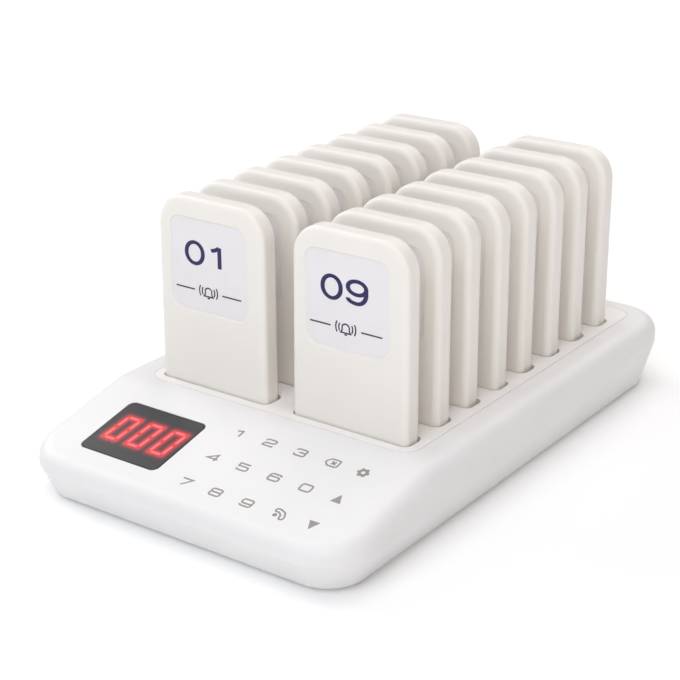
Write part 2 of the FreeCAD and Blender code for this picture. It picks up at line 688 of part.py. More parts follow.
def control_posts():
    """Axes of the posts under the control board."""
    return [(f"({sx} * (size.control_board_width / 2 - size.post_width))",
             f"({CONTROL_MIDDLE_Y} + {sy} * (size.control_board_depth / 2 - size.post_width))")
            for sx in (-1, 1) for sy in (-1, 1)]


def wall_y(height):
    """Lower casing's rear face at a height."""
    return (f"(size.base_depth / 2 - size.foot_inset * (1 - ({height} - size.foot_height)"
            " / (size.seam_rear_height - size.foot_height)))")


def make_bottom_casing():
    """Lower shell that slants in to the foot, with pillars, posts and the inlet's housing."""
    body = body_named("bottom_casing")
    seam_depth = f"(size.base_depth / cos({SEAM_TILT}))"
    floor_inset = (f"(size.foot_inset * (1 - size.casing_wall / ({SEAM_MIDDLE} - size.foot_height))"
                   " + size.casing_wall)")
    for kind, sign, draw, corner, level, low, high in (
            ("AdditiveLoft", 1, rounded_rectangle, 1.0, "size.foot_height", "size.foot_inset", "0"),
            ("SubtractiveLoft", -1, cornered_rectangle, HIDDEN_BEVEL, CASING_FLOOR, floor_inset,
             "size.casing_wall")):
        lower = sketch_on(body, "XY_Plane", f"{kind}_foot", ("0", "0", level))
        draw(lower, f"size.base_width - 2 * {low}", f"size.base_depth - 2 * {low}",
             f"{corner} * (size.base_corner_radius - {low})")
        upper = sketch_on(body, "XY_Plane", f"{kind}_seam", ("0", "0", SEAM_MIDDLE), SEAM_TILT)
        draw(upper, f"size.base_width - 2 * {high}", f"{seam_depth} - 2 * {high}",
             f"{corner} * (size.base_corner_radius - {high})")
        doc.recompute()
        feature_on(body, kind, lower, sign, {"Sections": [upper], "Ruled": True})

    pairs = [pair for row in boss_places() for pair in row]
    pillars = sketch_on(body, "XY_Plane", "pillars", ("0", "0", "size.foot_height"))
    hexagons(pillars, "size.pillar_radius", pairs)
    grow(body, "Pad", pillars, Length=f"{PILLAR_TOP} - size.foot_height")
    for radius, depth in (("size.screw_radius + size.screw_hole_clearance", f"{PILLAR_TOP}"),
                          ("size.screw_head_radius + size.counterbore_clearance", "size.counterbore_depth")):
        holes = sketch_on(body, "XY_Plane", "screw_holes", ("0", "0", "size.foot_height"))
        hexagons(holes, radius, pairs)
        cut(body, "Pocket", holes, Length=depth, Reversed=True)
    posts = sketch_on(body, "XY_Plane", "board_posts", ("0", "0", CASING_FLOOR))
    rectangles(posts, "size.post_width", "size.post_width", charging_posts() + control_posts())
    grow(body, "Pad", posts, Length="size.post_height")
    recesses = sketch_on(body, "XY_Plane", "foot_recesses", ("0", "0", "size.foot_height"))
    recess_size = "size.foot_size + 2 * size.foot_clearance"
    rectangles(recesses, recess_size, recess_size, foot_places())
    cut(body, "Pocket", recesses, Length="size.foot_recess", Reversed=True)

    housing = sketch_on(body, "YZ_Plane", "inlet_housing", ("0", "0", "size.inlet_x"))
    low, high = "(size.foot_height + size.casing_wall / 2)", "(2 * size.inlet_height - size.foot_height / 2)"
    inside = f"({INLET_SEAT_Y} - size.inlet_housing_wall)"
    polygon(housing, [(inside, low), (f"{wall_y(low)} - size.casing_wall / 4", low),
                      (f"{wall_y(high)} - size.casing_wall / 4", high), (inside, high)])
    grow(body, "Pad", housing, Length="size.inlet_housing_width", Midplane=True)
    seat = ("size.inlet_x", "size.inlet_height", f"-{INLET_SEAT_Y}")
    recess = sketch_on(body, "XZ_Plane", "inlet_recess", seat)
    rectangles(recess, "size.inlet_plate_width + 2 * size.inlet_recess_margin",
               "size.inlet_plate_height + 2 * size.inlet_recess_margin", [("0", "0")])
    cut(body, "Pocket", recess, Length="2 * size.inlet_recess")
    bore = sketch_on(body, "XZ_Plane", "inlet_bore", seat)
    bore_size = "size.inlet_body_width + 2 * size.inlet_clearance"
    rectangles(bore, bore_size, bore_size, [("0", "0")])
    cut(body, "Pocket", bore, Length="2 * size.inlet_housing_wall", Reversed=True)
    return body


def foot_places():
    """Middles of the four rubber feet."""
    across = "(size.base_width / 2 - size.foot_edge_distance)"
    along = "(size.base_depth / 2 - size.foot_edge_distance)"
    return [(f"({sx} * {across})", f"({sy} * {along})") for sx in (-1, 1) for sy in (-1, 1)]


def make_feet():
    """Four square rubber feet, stuck in the recesses of the lower casing."""
    extent = ("size.foot_size", "size.foot_size", "size.foot_height + size.foot_recess")
    return group_of("feet", [box(f"foot_{index + 1}", extent,
                                 (f"{x} - size.foot_size / 2", f"{y} - size.foot_size / 2", "0"))
                             for index, (x, y) in enumerate(foot_places())])


def make_screws():
    """Four casing screws, put in from below."""
    body = body_named("casing_screw")
    head = sketch_on(body, "XY_Plane", "screw_head")
    hexagons(head, "size.screw_head_radius", [("0", "0")])
    grow(body, "Pad", head, Length="size.screw_head_height", Reversed=True)
    shank = sketch_on(body, "XY_Plane", "screw_shank")
    hexagons(shank, "size.screw_radius", [("0", "0")])
    grow(body, "Pad", shank, Length="size.screw_length")
    level = "(size.foot_height + size.counterbore_depth)"
    pairs = [pair for row in boss_places() for pair in row]
    return group_of("screws", [copy_of(body, f"screw_{index + 1}", (x, y, level))
                               for index, (x, y) in enumerate(pairs)])


def make_display_window():
    """Smoked window, flush with the keypad deck."""
    body = body_named("display_window")
    window = slope_place("size.display_x", "size.display_distance")
    outline = sketch_on(body, "XY_Plane", "window_outline", window, "size.deck_slope")
    rounded_rectangle(outline, "size.display_width", "size.display_depth", "size.display_corner_radius")
    grow(body, "Pad", outline, Length="size.display_thickness", Reversed=True)
    return body


def slope_box(name, width, depth, height, x, distance, below):
    """Block parallel to the keypad deck: its middle on the deck, its top below the surface."""
    corner = slope_place(f"({x} - {width} / 2)", f"({distance} + {depth} / 2)", f"({below} + {height})")
    return box(name, (width, depth, height), corner, "size.deck_slope")


def make_display_module():
    """Three-digit segment block on its carrier board."""
    hole_x = "(size.display_width - 2 * size.display_ledge - 2 * size.display_block_gap)"
    hole_y = "(size.display_depth - 2 * size.display_ledge - 2 * size.display_block_gap)"
    block = slope_box("digit_block", hole_x, hole_y, "size.display_block_height", "size.display_x",
                      "size.display_distance", "size.display_thickness")
    carrier = slope_box("digit_carrier", "(size.display_width + 2 * size.display_board_margin)",
                        "size.display_depth", "size.board_thickness", "size.display_x",
                        "size.display_distance", "(size.display_thickness + size.display_block_height)")
    return group_of("display_module", [block, carrier])


def make_keypad_board():
    """Touch board, face to face with the underside of the keypad deck."""
    board = slope_box("keypad_board", "size.keypad_board_width", "size.keypad_board_depth",
                      "size.keypad_board_thickness", "size.keypad_x", "size.keypad_distance",
                      "size.casing_wall")
    board.Label = "keypad_board"
    return board


def make_control_board():
    """Main board with radio module, antenna, sounder, processor and the joint to the next board."""
    left = "(-size.control_board_width / 2)"
    front = f"({CONTROL_REAR_Y} - size.control_board_depth)"
    board = box("control_plate", ("size.control_board_width", "size.control_board_depth",
                                  "size.board_thickness"), (left, front, POST_TOP))
    radio = box("radio_module", ("22", "16", "2.4"), (f"{left} + 12", f"{front} + 8", BOARD_TOP))
    antenna = box("antenna", ("34", "2", "2"), (f"{left} + 40", f"{front} + 4", BOARD_TOP))
    processor = box("processor", ("12", "12", "1.4"), ("4", f"{CONTROL_MIDDLE_Y} - 4", BOARD_TOP))
    connector = box("board_connector", ("24", "8", "1.8"), ("-12", f"{CONTROL_REAR_Y} - 5", BOARD_TOP))
    sounder = box("sounder", ("12", "12", "4"), ("30", f"{CONTROL_MIDDLE_Y} - 6", BOARD_TOP))
    return group_of("control_board", [board, radio, antenna, processor, connector, sounder])


def make_charging_board():
    """Long board on posts under the wells."""
    board = box("charging_board", ("size.charging_board_width", f"{CHARGING_REAR_Y} - {CHARGING_FRONT_Y}",
                                   "size.board_thickness"),
                ("-size.charging_board_width / 2", CHARGING_FRONT_Y, POST_TOP))
    board.Label = "charging_board"
    return board


def make_charging_contacts():
    """Square spring contacts, two to a pager, that rise through the well floors."""
    body = body_named("spring_contact")
    plunger = sketch_on(body, "XY_Plane", "pin_outline")
    rectangles(plunger, "size.pin_width", "size.pin_width", [("0", "0")])
    grow(body, "Pad", plunger, Length=f"{PAGER_FOOT} - size.pin_gap - {BOARD_TOP}")
    pins = []
    for column in range(COLUMNS):
        for row_index in range(ROWS):
            for side in (-1, 1):
                base = (f"{column_x(column)} + {side} * size.pad_pitch / 2",
                        f"{FIRST_PAGER_Y} + {row_index} * size.pager_pitch + {PAD_Y}", BOARD_TOP)
                pins.append(copy_of(body, f"pin_{len(pins) + 1:02d}", base))
    return group_of("charging_contacts", pins)


def make_dc_jack():
    """Power inlet: face plate and square body with a round bore and its centre pin."""
    body = body_named("dc_jack")
    seat = ("size.inlet_x", "size.inlet_height", f"-{INLET_SEAT_Y}")
    plate = sketch_on(body, "XZ_Plane", "inlet_plate", seat)
    rectangles(plate, "size.inlet_plate_width", "size.inlet_plate_height", [("0", "0")])
    grow(body, "Pad", plate, Length="size.inlet_plate_thickness", Reversed=True)
    block = sketch_on(body, "XZ_Plane", "inlet_block", seat)
    rectangles(block, "size.inlet_body_width", "size.inlet_body_width", [("0", "0")])
    grow(body, "Pad", block, Length="size.inlet_body_length")
    mouth = ("size.inlet_x", "size.inlet_height", f"-({INLET_SEAT_Y} + size.inlet_plate_thickness)")
    bore = sketch_on(body, "XZ_Plane", "inlet_bore", mouth)
    circles(bore, "size.inlet_bore_radius", [("0", "0")])
    cut(body, "Pocket", bore, Length="size.inlet_bore_depth", Reversed=True)
    pin = sketch_on(body, "XZ_Plane", "inlet_pin", mouth)
    circles(pin, "size.inlet_pin_radius", [("0", "0")])
    grow(body, "Pad", pin, Length="size.inlet_bore_depth + size.inlet_plate_thickness")
    return body


# ---------------------------------------------------------------------------------------------
# Pagers
# ---------------------------------------------------------------------------------------------

def parting_sketch(body, name):
    """Sketch on the parting plane of a pager, seen from the front."""
    return sketch_on(body, "XZ_Plane", name, ("0", "0", f"-{PARTING_Y}"))


def make_front_shell(name):
    """Front moulding: high top corners, bevelled front edge and the label recess with sloping sides."""
    body = body_named(name)
    outline = parting_sketch(body, "front_outline")
    pager_outline(outline, "0", "size.pager_top_radius", PAGER_CORNER_FLATS)
    grow(body, "Pad", outline, Length="size.pager_parting")
    face_y = -number("size.pager_thickness") / 2
    dress(body, "Chamfer", edges_where(body.Shape, lambda middle, direction: abs(middle.y - face_y) < 1e-3),
          Size="size.pager_front_edge_bevel")
    cavity = parting_sketch(body, "front_cavity")
    pager_outline(cavity, "size.pager_cavity_inset", "size.pager_cavity_corner", 1)
    cut(body, "Pocket", cavity, Length="size.pager_parting - size.pager_wall", Reversed=True)
    label_z = "size.pager_height - size.label_top_margin - size.label_height / 2"
    label = sketch_on(body, "XZ_Plane", "label_recess",
                      ("size.label_offset", label_z, "size.pager_thickness / 2"))
    cornered_rectangle(label, LABEL_WIDTH, "size.label_height", "size.label_corner")
    cut(body, "Pocket", label, Length="size.label_recess")
    floor_y = face_y + number("size.label_recess")
    dress(body, "Chamfer", edges_where(body.Shape, lambda middle, direction: abs(middle.y - floor_y) < 1e-3),
          ChamferType=1, Size="size.label_recess - size.label_lip", Size2="size.label_slope")
    windows = sketch_on(body, "XY_Plane", "pad_windows")
    rectangles(windows, "size.pad_width + 2 * size.pad_clearance", "size.pad_depth + 2 * size.pad_clearance",
               [(f"{side} * size.pad_pitch / 2", PAD_Y) for side in (-1, 1)])
    cut(body, "Pocket", windows, Length="size.pager_cavity_inset + size.pad_clearance", Reversed=True)
    return body


def make_rear_shell(name):
    """Rear moulding: bevelled rear edge and a shallow hollow that leaves a ledge for the board."""
    body = body_named(name)
    outline = parting_sketch(body, "rear_outline")
    pager_outline(outline, "0", "size.pager_top_radius", PAGER_CORNER_FLATS)
    grow(body, "Pad", outline, Length="size.pager_thickness - size.pager_parting", Reversed=True)
    face_y = number("size.pager_thickness") / 2
    dress(body, "Chamfer", edges_where(body.Shape, lambda middle, direction: abs(middle.y - face_y) < 1e-3),
          Size="size.pager_rear_edge_bevel")
    hollow = parting_sketch(body, "rear_hollow")
    pager_outline(hollow, "(size.pager_cavity_inset + size.pager_ledge)", "size.pager_cavity_corner", 1)
    cut(body, "Pocket", hollow, Length="size.pager_thickness - size.pager_parting - size.pager_wall")
    return body


def make_works(name):
    """Board on the rear shell's ledge, with battery, vibration motor, sounder and charging pads."""
    board = body_named(f"{name}_board")
    outline = parting_sketch(board, "board_outline")
    pager_outline(outline, "(size.pager_cavity_inset + size.pager_board_clearance)",
                  "size.pager_cavity_corner", 1)
    grow(board, "Pad", outline, Length="size.pager_board_thickness")
    surface = f"({PARTING_Y} - size.pager_board_thickness)"
    blocks = (("battery", "size.battery_width", "size.battery_thickness", "size.battery_height",
               "size.battery_bottom", "0"),
              ("motor", "size.motor_width", "size.motor_thickness", "size.motor_height",
               "size.motor_bottom", "size.motor_width / 2"),
              ("sounder", "size.sounder_size", "size.sounder_thickness", "size.sounder_size",
               "size.sounder_bottom", "-size.sounder_size / 2"),
              ("left_pad", "size.pad_width", "size.pad_depth", "size.pad_height", "0",
               "-size.pad_pitch / 2"),
              ("right_pad", "size.pad_width", "size.pad_depth", "size.pad_height", "0",
               "size.pad_pitch / 2"))
    members = [board]
    for part, width, depth, height, bottom, middle in blocks:
        members.append(box(f"{name}_{part}", (width, depth, height),
                           (f"{middle} - {width} / 2", f"{surface} - {depth}", bottom)))
    return group_of(name, members)


def make_pagers():
    """Sixteen pagers: the first is modelled, the others are linked copies of its three nodes."""
    first = [make_front_shell("pager_01_front_shell"), make_rear_shell("pager_01_rear_shell"),
             make_works("pager_01_works")]
    nodes = []
    for index in range(ROWS * COLUMNS):
        column, row_index = divmod(index, ROWS)
        shift = " - size.pager_play" if index + 1 in SHIFTED_PAGERS else ""
        row_y = f"{FIRST_PAGER_Y} + {row_index} * size.pager_pitch"
        base = (f"{column_x(column)}{shift}", row_y, PAGER_FOOT)
        for original in first:
            if index:
                name = original.Label.replace("pager_01", f"pager_{index + 1:02d}")
                nodes.append(copy_of(original, name, base))
    for original in first:
        place(original, (column_x(0), FIRST_PAGER_Y, PAGER_FOOT))
    return first + nodes


# ---------------------------------------------------------------------------------------------
# Assembly and export
# ---------------------------------------------------------------------------------------------

def main():
    """Build every node, check it and write it to its own file."""
    nodes = [make_top_casing(), make_dock_insert(), make_bottom_casing(), make_display_window(),
             make_display_module(), make_keypad_board(), make_control_board(), make_charging_board(),
             make_charging_contacts(), make_dc_jack(), make_feet(), make_screws()]
    nodes += make_pagers()
    doc.recompute()
    for item in doc.Objects:
        if {"Invalid", "Error"} & set(item.State):
            raise RuntimeError(f"{item.Label}: {item.State}")
    os.makedirs("parts", exist_ok=True)
    for node in nodes:
        shape = Part.getShape(node)
        if shape.isNull() or not shape.isValid() or not shape.Solids:
            raise RuntimeError(f"{node.Label} has no valid solid")
        shape.exportStep(f"parts/{node.Label}.step")


main()
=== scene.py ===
"""Visual model of a guest pager system: a charging base with a touch keypad and sixteen pagers.

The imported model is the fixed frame. Its casings stay and get their finishes here. The pagers'
shells, the display's window, the labels, the seal round the dock insert and everything printed or
lit are meshes of their own.
"""

import logging
import math
from dataclasses import dataclass
from enum import Enum
from typing import Any, Iterable, Sequence

import bmesh
import bpy
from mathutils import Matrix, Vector


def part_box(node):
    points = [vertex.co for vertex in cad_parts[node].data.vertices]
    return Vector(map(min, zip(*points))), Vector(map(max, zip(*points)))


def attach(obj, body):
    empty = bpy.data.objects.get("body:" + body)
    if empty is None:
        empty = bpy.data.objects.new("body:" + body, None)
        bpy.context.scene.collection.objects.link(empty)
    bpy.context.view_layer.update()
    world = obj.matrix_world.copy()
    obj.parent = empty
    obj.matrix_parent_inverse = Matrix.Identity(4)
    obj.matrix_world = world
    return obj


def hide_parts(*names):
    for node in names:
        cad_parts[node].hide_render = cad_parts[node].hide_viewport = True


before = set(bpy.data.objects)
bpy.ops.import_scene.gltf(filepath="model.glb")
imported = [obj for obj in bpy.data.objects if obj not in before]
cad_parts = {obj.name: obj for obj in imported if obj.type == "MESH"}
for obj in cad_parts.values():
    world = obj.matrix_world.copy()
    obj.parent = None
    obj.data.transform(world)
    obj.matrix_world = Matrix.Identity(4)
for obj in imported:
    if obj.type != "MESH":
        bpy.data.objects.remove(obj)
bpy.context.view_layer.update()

MM = 0.001               # metres in a millimetre
CREASE = 32.0            # smallest angle of a sharp edge, degrees
DRIFT = (0.3, 0.75)      # noise between which a finish's first colour gives way to its second

Flat = tuple[float, float]
RIGHT, BACK, UP = Vector((1.0, 0.0, 0.0)), Vector((0.0, 1.0, 0.0)), Vector((0.0, 0.0, 1.0))
log = logging.getLogger("guest_pager_system")


# ---------------------------------------------------------------------------------------------
# Colours and shader nodes
# ---------------------------------------------------------------------------------------------

def linear(colour: str) -> tuple[float, float, float, float]:
    """Turns an sRGB hex colour into the linear values that a shader takes.

    Args:
        colour: Six hex digits after a hash.

    Returns:
        Red, green, blue and an alpha of one.
    """
    parts = [int(colour[start:start + 2], 16) / 255 for start in (1, 3, 5)]
    red, green, blue = [part / 12.92 if part <= 0.04045 else ((part + 0.055) / 1.055) ** 2.4
                        for part in parts]
    return red, green, blue, 1.0


def add_node(tree: bpy.types.NodeTree, kind: str, settings: dict[str | int, Any] | None = None,
             links: dict[str | int, bpy.types.NodeSocket] | None = None) -> bpy.types.Node:
    """Adds one shader node with its settings and its links.

    Args:
        tree: The material's or world's node tree.
        kind: Blender's name for the node's type.
        settings: Values by name: a property of the node, or else one of its inputs. The name stops
            is for a colour ramp's places from 0 to 1 with their hex colours, in order.
        links: Output sockets by the name of the input that each one feeds.

    Returns:
        The new node.
    """
    node = tree.nodes.new(kind)
    for name, value in (settings or {}).items():
        if name == "stops":
            elements = node.color_ramp.elements
            while len(elements) < len(value):
                elements.new(1.0)
            for element, (place, colour) in zip(elements, value):
                element.position = place
                element.color = linear(colour)
        elif isinstance(name, str) and hasattr(node, name):
            setattr(node, name, value)
        else:
            node.inputs[name].default_value = value
    for name, socket in (links or {}).items():
        tree.links.new(socket, node.inputs[name])
    return node


def new_material(name: str) -> tuple[bpy.types.Material, bpy.types.NodeTree, bpy.types.Node]:
    """Makes an empty material with a principled shader.

    Args:
        name: The material's name.

    Returns:
        The material, its node tree and its principled shader.
    """
    material = bpy.data.materials.new(name)
    material.use_nodes = True
    tree = material.node_tree
    tree.nodes.clear()
    shader = add_node(tree, "ShaderNodeBsdfPrincipled")
    add_node(tree, "ShaderNodeOutputMaterial", links={"Surface": shader.outputs["BSDF"]})
    return material, tree, shader


def per_metre(size: float) -> float:
    """Noise scale whose features are about size millimetres across."""
    return 1.0 / (size * MM)


# ---------------------------------------------------------------------------------------------
# Finishes
# ---------------------------------------------------------------------------------------------

@dataclass(frozen=True)
class Finish:
    """A real material with the way its surface was made.

    Attributes:
        name: Name of the Blender material.
        colour: Main colour, sRGB hex.
        second: Colour that the first one drifts towards.
        roughness: Mean roughness.
        patch: Width of the colour's drifts, mm.
        grain: Width of the surface's grain, mm.
        relief: Height of the grain, mm.
        ior: Index of refraction of what isn't metal.
    """

    name: str
    colour: str
    second: str
    roughness: float
    patch: float = 40.0
    grain: float = 0.5
    relief: float = 0.01
    ior: float = 1.5

    def material(self) -> bpy.types.Material:
        """Returns the material, made the first time that it's asked for."""
        made = bpy.data.materials.get(self.name)
        return made if made else self.make()

    def make(self) -> bpy.types.Material:
        """Builds the material's nodes.

        Returns:
            The new material.
        """
        material, tree, shader = new_material(self.name)
        place = add_node(tree, "ShaderNodeTexCoord").outputs["Object"]
        self.colour_it(tree, shader, place)
        self.roughen(tree, shader, place)
        return material

    def colour_it(self, tree: bpy.types.NodeTree, shader: bpy.types.Node,
                  place: bpy.types.NodeSocket) -> None:
        """Drifts the colour over the surface.

        Args:
            tree: The material's nodes.
            shader: Its principled shader.
            place: Object coordinates, in metres.
        """
        drift = add_node(tree, "ShaderNodeTexNoise",
                         {"Scale": per_metre(self.patch), "Detail": 3.0}, {"Vector": place})
        ramp = add_node(tree, "ShaderNodeValToRGB",
                        {"stops": tuple(zip(DRIFT, (self.colour, self.second)))},
                        {"Fac": drift.outputs["Fac"]})
        tree.links.new(ramp.outputs["Color"], shader.inputs["Base Color"])

    def roughen(self, tree: bpy.types.NodeTree, shader: bpy.types.Node,
                place: bpy.types.NodeSocket) -> None:
        """Gives the surface its grain and its uneven gloss.

        Args:
            tree: The material's nodes.
            shader: Its principled shader.
            place: Object coordinates, in metres.
        """
        spread = 0.06
        grain = add_node(tree, "ShaderNodeTexNoise",
                         {"Scale": per_metre(self.grain), "Detail": 2.0, "Roughness": 0.6},
                         {"Vector": place})
        gloss = add_node(tree, "ShaderNodeMapRange",
                         {"To Min": self.roughness - spread, "To Max": self.roughness + spread},
                         {"Value": grain.outputs["Fac"]})
        bump = add_node(tree, "ShaderNodeBump", {"Strength": 1.0, "Distance": self.relief * MM},
                        {"Height": grain.outputs["Fac"]})
        tree.links.new(gloss.outputs["Result"], shader.inputs["Roughness"])
        tree.links.new(bump.outputs["Normal"], shader.inputs["Normal"])
        shader.inputs["IOR"].default_value = self.ior


@dataclass(frozen=True)
class Metal(Finish):
    """A plated metal, bare to the air, which keeps the shader's own index of refraction."""

    def make(self) -> bpy.types.Material:
        """Builds the finish as a metal.

        Returns:
            The new material.
        """
        material = super().make()
        material.node_tree.nodes["Principled BSDF"].inputs["Metallic"].default_value = 1.0
        return material


@dataclass(frozen=True)
class GlowingFinish(Finish):
    """A finish that shines as an attribute of its mesh says.

    Attributes:
        attribute: Name of that attribute, which runs from 0 to 1.
        stops: Values of it with the light's colour there.
        dark_edge: Colour where the mesh's attribute border is 1, or empty for no border.
    """

    attribute: str = "glow"
    stops: tuple[tuple[float, str], ...] = ()
    dark_edge: str = ""

    def make(self) -> bpy.types.Material:
        """Builds the finish and adds its light.

        Returns:
            The new material.
        """
        material = super().make()
        tree = material.node_tree
        shader = tree.nodes["Principled BSDF"]
        level = add_node(tree, "ShaderNodeAttribute", {"attribute_name": self.attribute})
        ramp = add_node(tree, "ShaderNodeValToRGB", {"stops": self.stops},
                        {"Fac": level.outputs["Fac"]})
        tree.links.new(ramp.outputs["Color"], shader.inputs["Emission Color"])
        shader.inputs["Emission Strength"].default_value = 1.0
        return material

    def colour_it(self, tree: bpy.types.NodeTree, shader: bpy.types.Node,
                  place: bpy.types.NodeSocket) -> None:
        """Adds the dark border to the drifting colour.

        Args:
            tree: The material's nodes.
            shader: Its principled shader.
            place: Object coordinates, in metres.
        """
        if not self.dark_edge:
            super().colour_it(tree, shader, place)
            return
        # The noise is squeezed below drift_end, and the border lifts it past edge_start.
        drift_end, edge_start = 0.25, 0.9
        border = add_node(tree, "ShaderNodeAttribute", {"attribute_name": "border"})
        drift = add_node(tree, "ShaderNodeTexNoise", {"Scale": per_metre(self.patch)},
                         {"Vector": place})
        level = add_node(tree, "ShaderNodeMath", {"operation": "MULTIPLY_ADD", 1: drift_end},
                         {0: drift.outputs["Fac"], 2: border.outputs["Fac"]})
        stops = ((0.0, self.second), (drift_end, self.colour), (edge_start, self.dark_edge))
        ramp = add_node(tree, "ShaderNodeValToRGB", {"stops": stops},
                        {"Fac": level.outputs["Value"]})
        tree.links.new(ramp.outputs["Color"], shader.inputs["Base Color"])


@dataclass(frozen=True)
class PaintedGlowSheet(Finish):
    """A pale sheet with painted light: a glow, faint round the middle and brighter outwards.

    Attributes:
        near: Metres from the middle where the glow starts to grow, and its strength there.
        far: The same where it stops growing.
    """

    near: tuple[float, float] = (0.4, 0.075)
    far: tuple[float, float] = (1.6, 0.75)

    def make(self) -> bpy.types.Material:
        """Builds the finish and adds its painted glow.

        Returns:
            The new material.
        """
        material = super().make()
        tree = material.node_tree
        shader = tree.nodes["Principled BSDF"]
        shader.inputs["Emission Color"].default_value = linear("#FFFFFF")
        place = add_node(tree, "ShaderNodeTexCoord").outputs["Object"]
        reach = add_node(tree, "ShaderNodeVectorMath", {"operation": "LENGTH"}, {0: place})
        # Painted light: the glow grows with distance from the middle, where the lamps' light falls
        # off.
        glow = add_node(tree, "ShaderNodeMapRange",
                        {"From Min": self.near[0], "From Max": self.far[0],
                         "To Min": self.near[1], "To Max": self.far[1]},
                        {"Value": reach.outputs["Value"]})
        tree.links.new(glow.outputs["Result"], shader.inputs["Emission Strength"])
        return material


@dataclass(frozen=True)
class CircuitBoard(Finish):
    """Glass-epoxy board under solder mask, with copper tracks that show through as lighter lines.

    Attributes:
        track: Colour of the mask over copper.
        spacing: Distance between tracks, mm.
    """

    track: str = "#2E7A4E"
    spacing: float = 2.54

    def colour_it(self, tree: bpy.types.NodeTree, shader: bpy.types.Node,
                  place: bpy.types.NodeSocket) -> None:
        """Draws the tracks as the joints of a brick pattern.

        Args:
            tree: The material's nodes.
            shader: Its principled shader.
            place: Object coordinates, in metres.
        """
        line, run = 0.12 * self.spacing, 4.0 * self.spacing
        bricks = add_node(tree, "ShaderNodeTexBrick",
                          {"Color1": linear(self.colour), "Color2": linear(self.second),
                           "Mortar": linear(self.track), "Scale": 1.0, "Mortar Size": line * MM,
                           "Brick Width": run * MM, "Row Height": self.spacing * MM},
                          {"Vector": place})
        tree.links.new(bricks.outputs["Color"], shader.inputs["Base Color"])


# Real grains, 0.02 to 0.1 mm wide, are too fine to show, so they are drawn 0.15 to 1 mm wide.
# Moulded ABS with a fine spark-eroded grain: a soft, even sheen with no sharp reflections.
CASING_ABS = Finish("moulded_abs_cool_white", "#EBEAEA", "#E8E7E7", 0.42, grain=0.45, relief=0.006,
                    ior=1.53)
INSERT_ABS = Finish("moulded_abs_dock_white", "#F3F0EE", "#F0EDEB", 0.45, grain=0.45, relief=0.006,
                    ior=1.53)
# The pagers are moulded in a warmer white, which turns beige where they shade each other.
PAGER_ABS = Finish("moulded_abs_cream_white", "#EFEBE6", "#ECE8E1", 0.40, grain=0.45, relief=0.006,
                   ior=1.53)
# Coated label paper: slightly blue beside the cream plastic, with a faint satin face.
LABEL_PAPER = Finish("coated_label_paper", "#EAE7E9", "#E7E4E7", 0.34, patch=12.0, grain=0.3,
                     relief=0.004)
# Printed inks: a deep indigo for the number, a dark grey for the bell, both duller than the paper.
LABEL_INK = Finish("printed_indigo_ink", "#160C50", "#1C1358", 0.45, patch=4.0, grain=0.25,
                   relief=0.003)
SMALL_INK = Finish("printed_grey_violet_ink", "#2B2739", "#373244", 0.5, patch=4.0, grain=0.25,
                   relief=0.003)
# Screen-printed legends: a thin dull layer of ink, a little uneven under the squeegee.
LEGEND_INK = Finish("screen_printed_grey_ink", "#928B86", "#9B948F", 0.55, patch=3.0, grain=0.25,
                    relief=0.003)
# Smoked acrylic, with waves about 2 mm long in its polish: dark grey, with the light of the digits
# scattered in it and a blackened border.
SMOKED_ACRYLIC = GlowingFinish("polished_smoked_acrylic", "#363639", "#2F2F32", 0.3, patch=30.0,
                               grain=2.0, relief=0.001, ior=1.49,
                               stops=((0.0, "#000000"), (0.35, "#5A0D10"), (1.0, "#D8232B")),
                               dark_edge="#1B1B1F")
# Cast epoxy light pipes of a red display: pale red along the middle, full red at the sides.
LIT_SEGMENT = GlowingFinish("lit_red_epoxy", "#5A1016", "#4A0C12", 0.4, grain=0.3, relief=0.002,
                            attribute="core",
                            stops=((0.0, "#D9262E"), (0.45, "#F4555B"), (1.0, "#FF8B8F")))
# Moulded black ABS: dull and even.
BLACK_MOULDING = Finish("moulded_black_abs", "#1C1C1E", "#252527", 0.5, grain=0.4, relief=0.01)
# Solder mask brushed on glass epoxy: a green satin film with lighter lines.
SOLDER_MASK = CircuitBoard("solder_mask_on_glass_epoxy", "#1E5B38", "#1A5233", 0.35, grain=0.6,
                           relief=0.01)
# Heat-shrunk foil, boards and cans inside a pager, seen only when it is taken apart.
PAGER_WORKS = Finish("shrink_wrapped_cells", "#5E7FA6", "#44607F", 0.35, patch=8.0, grain=0.8,
                     relief=0.02)
# Gold plate on brass and zinc plate on steel: one warm and bright, the other cool and a bit cloudy.
GOLD_PLATE = Metal("gold_plated_brass", "#E3BD6E", "#D3A957", 0.28, patch=1.5, grain=0.15,
                   relief=0.003)
ZINC_PLATE = Metal("zinc_plated_steel", "#BEC2C8", "#A9AEB6", 0.34, patch=2.0, grain=0.2,
                   relief=0.004)
# Soft filler strip in the seam round the dock insert, matched to the mouldings.
SEAM_SEAL = Finish("soft_white_elastomer", "#E9E6E4", "#E5E2DF", 0.6, patch=15.0, grain=0.3,
                   relief=0.004)
# Moulded rubber, dark and dull.
FOOT_RUBBER = Finish("moulded_grey_rubber", "#3B3B3D", "#323234", 0.85, patch=6.0, grain=0.35,
                     relief=0.03, ior=1.52)
# White table top with painted light: a glow, faint round the middle and growing outwards, keeps the
# far floor white and leaves only a light shade under the base.
PAINTED_GLOW_TABLE = PaintedGlowSheet("white_table_painted_glow", "#F8F8F8", "#F6F6F6", 0.7, patch=400.0, grain=1.0,
                      relief=0.002)

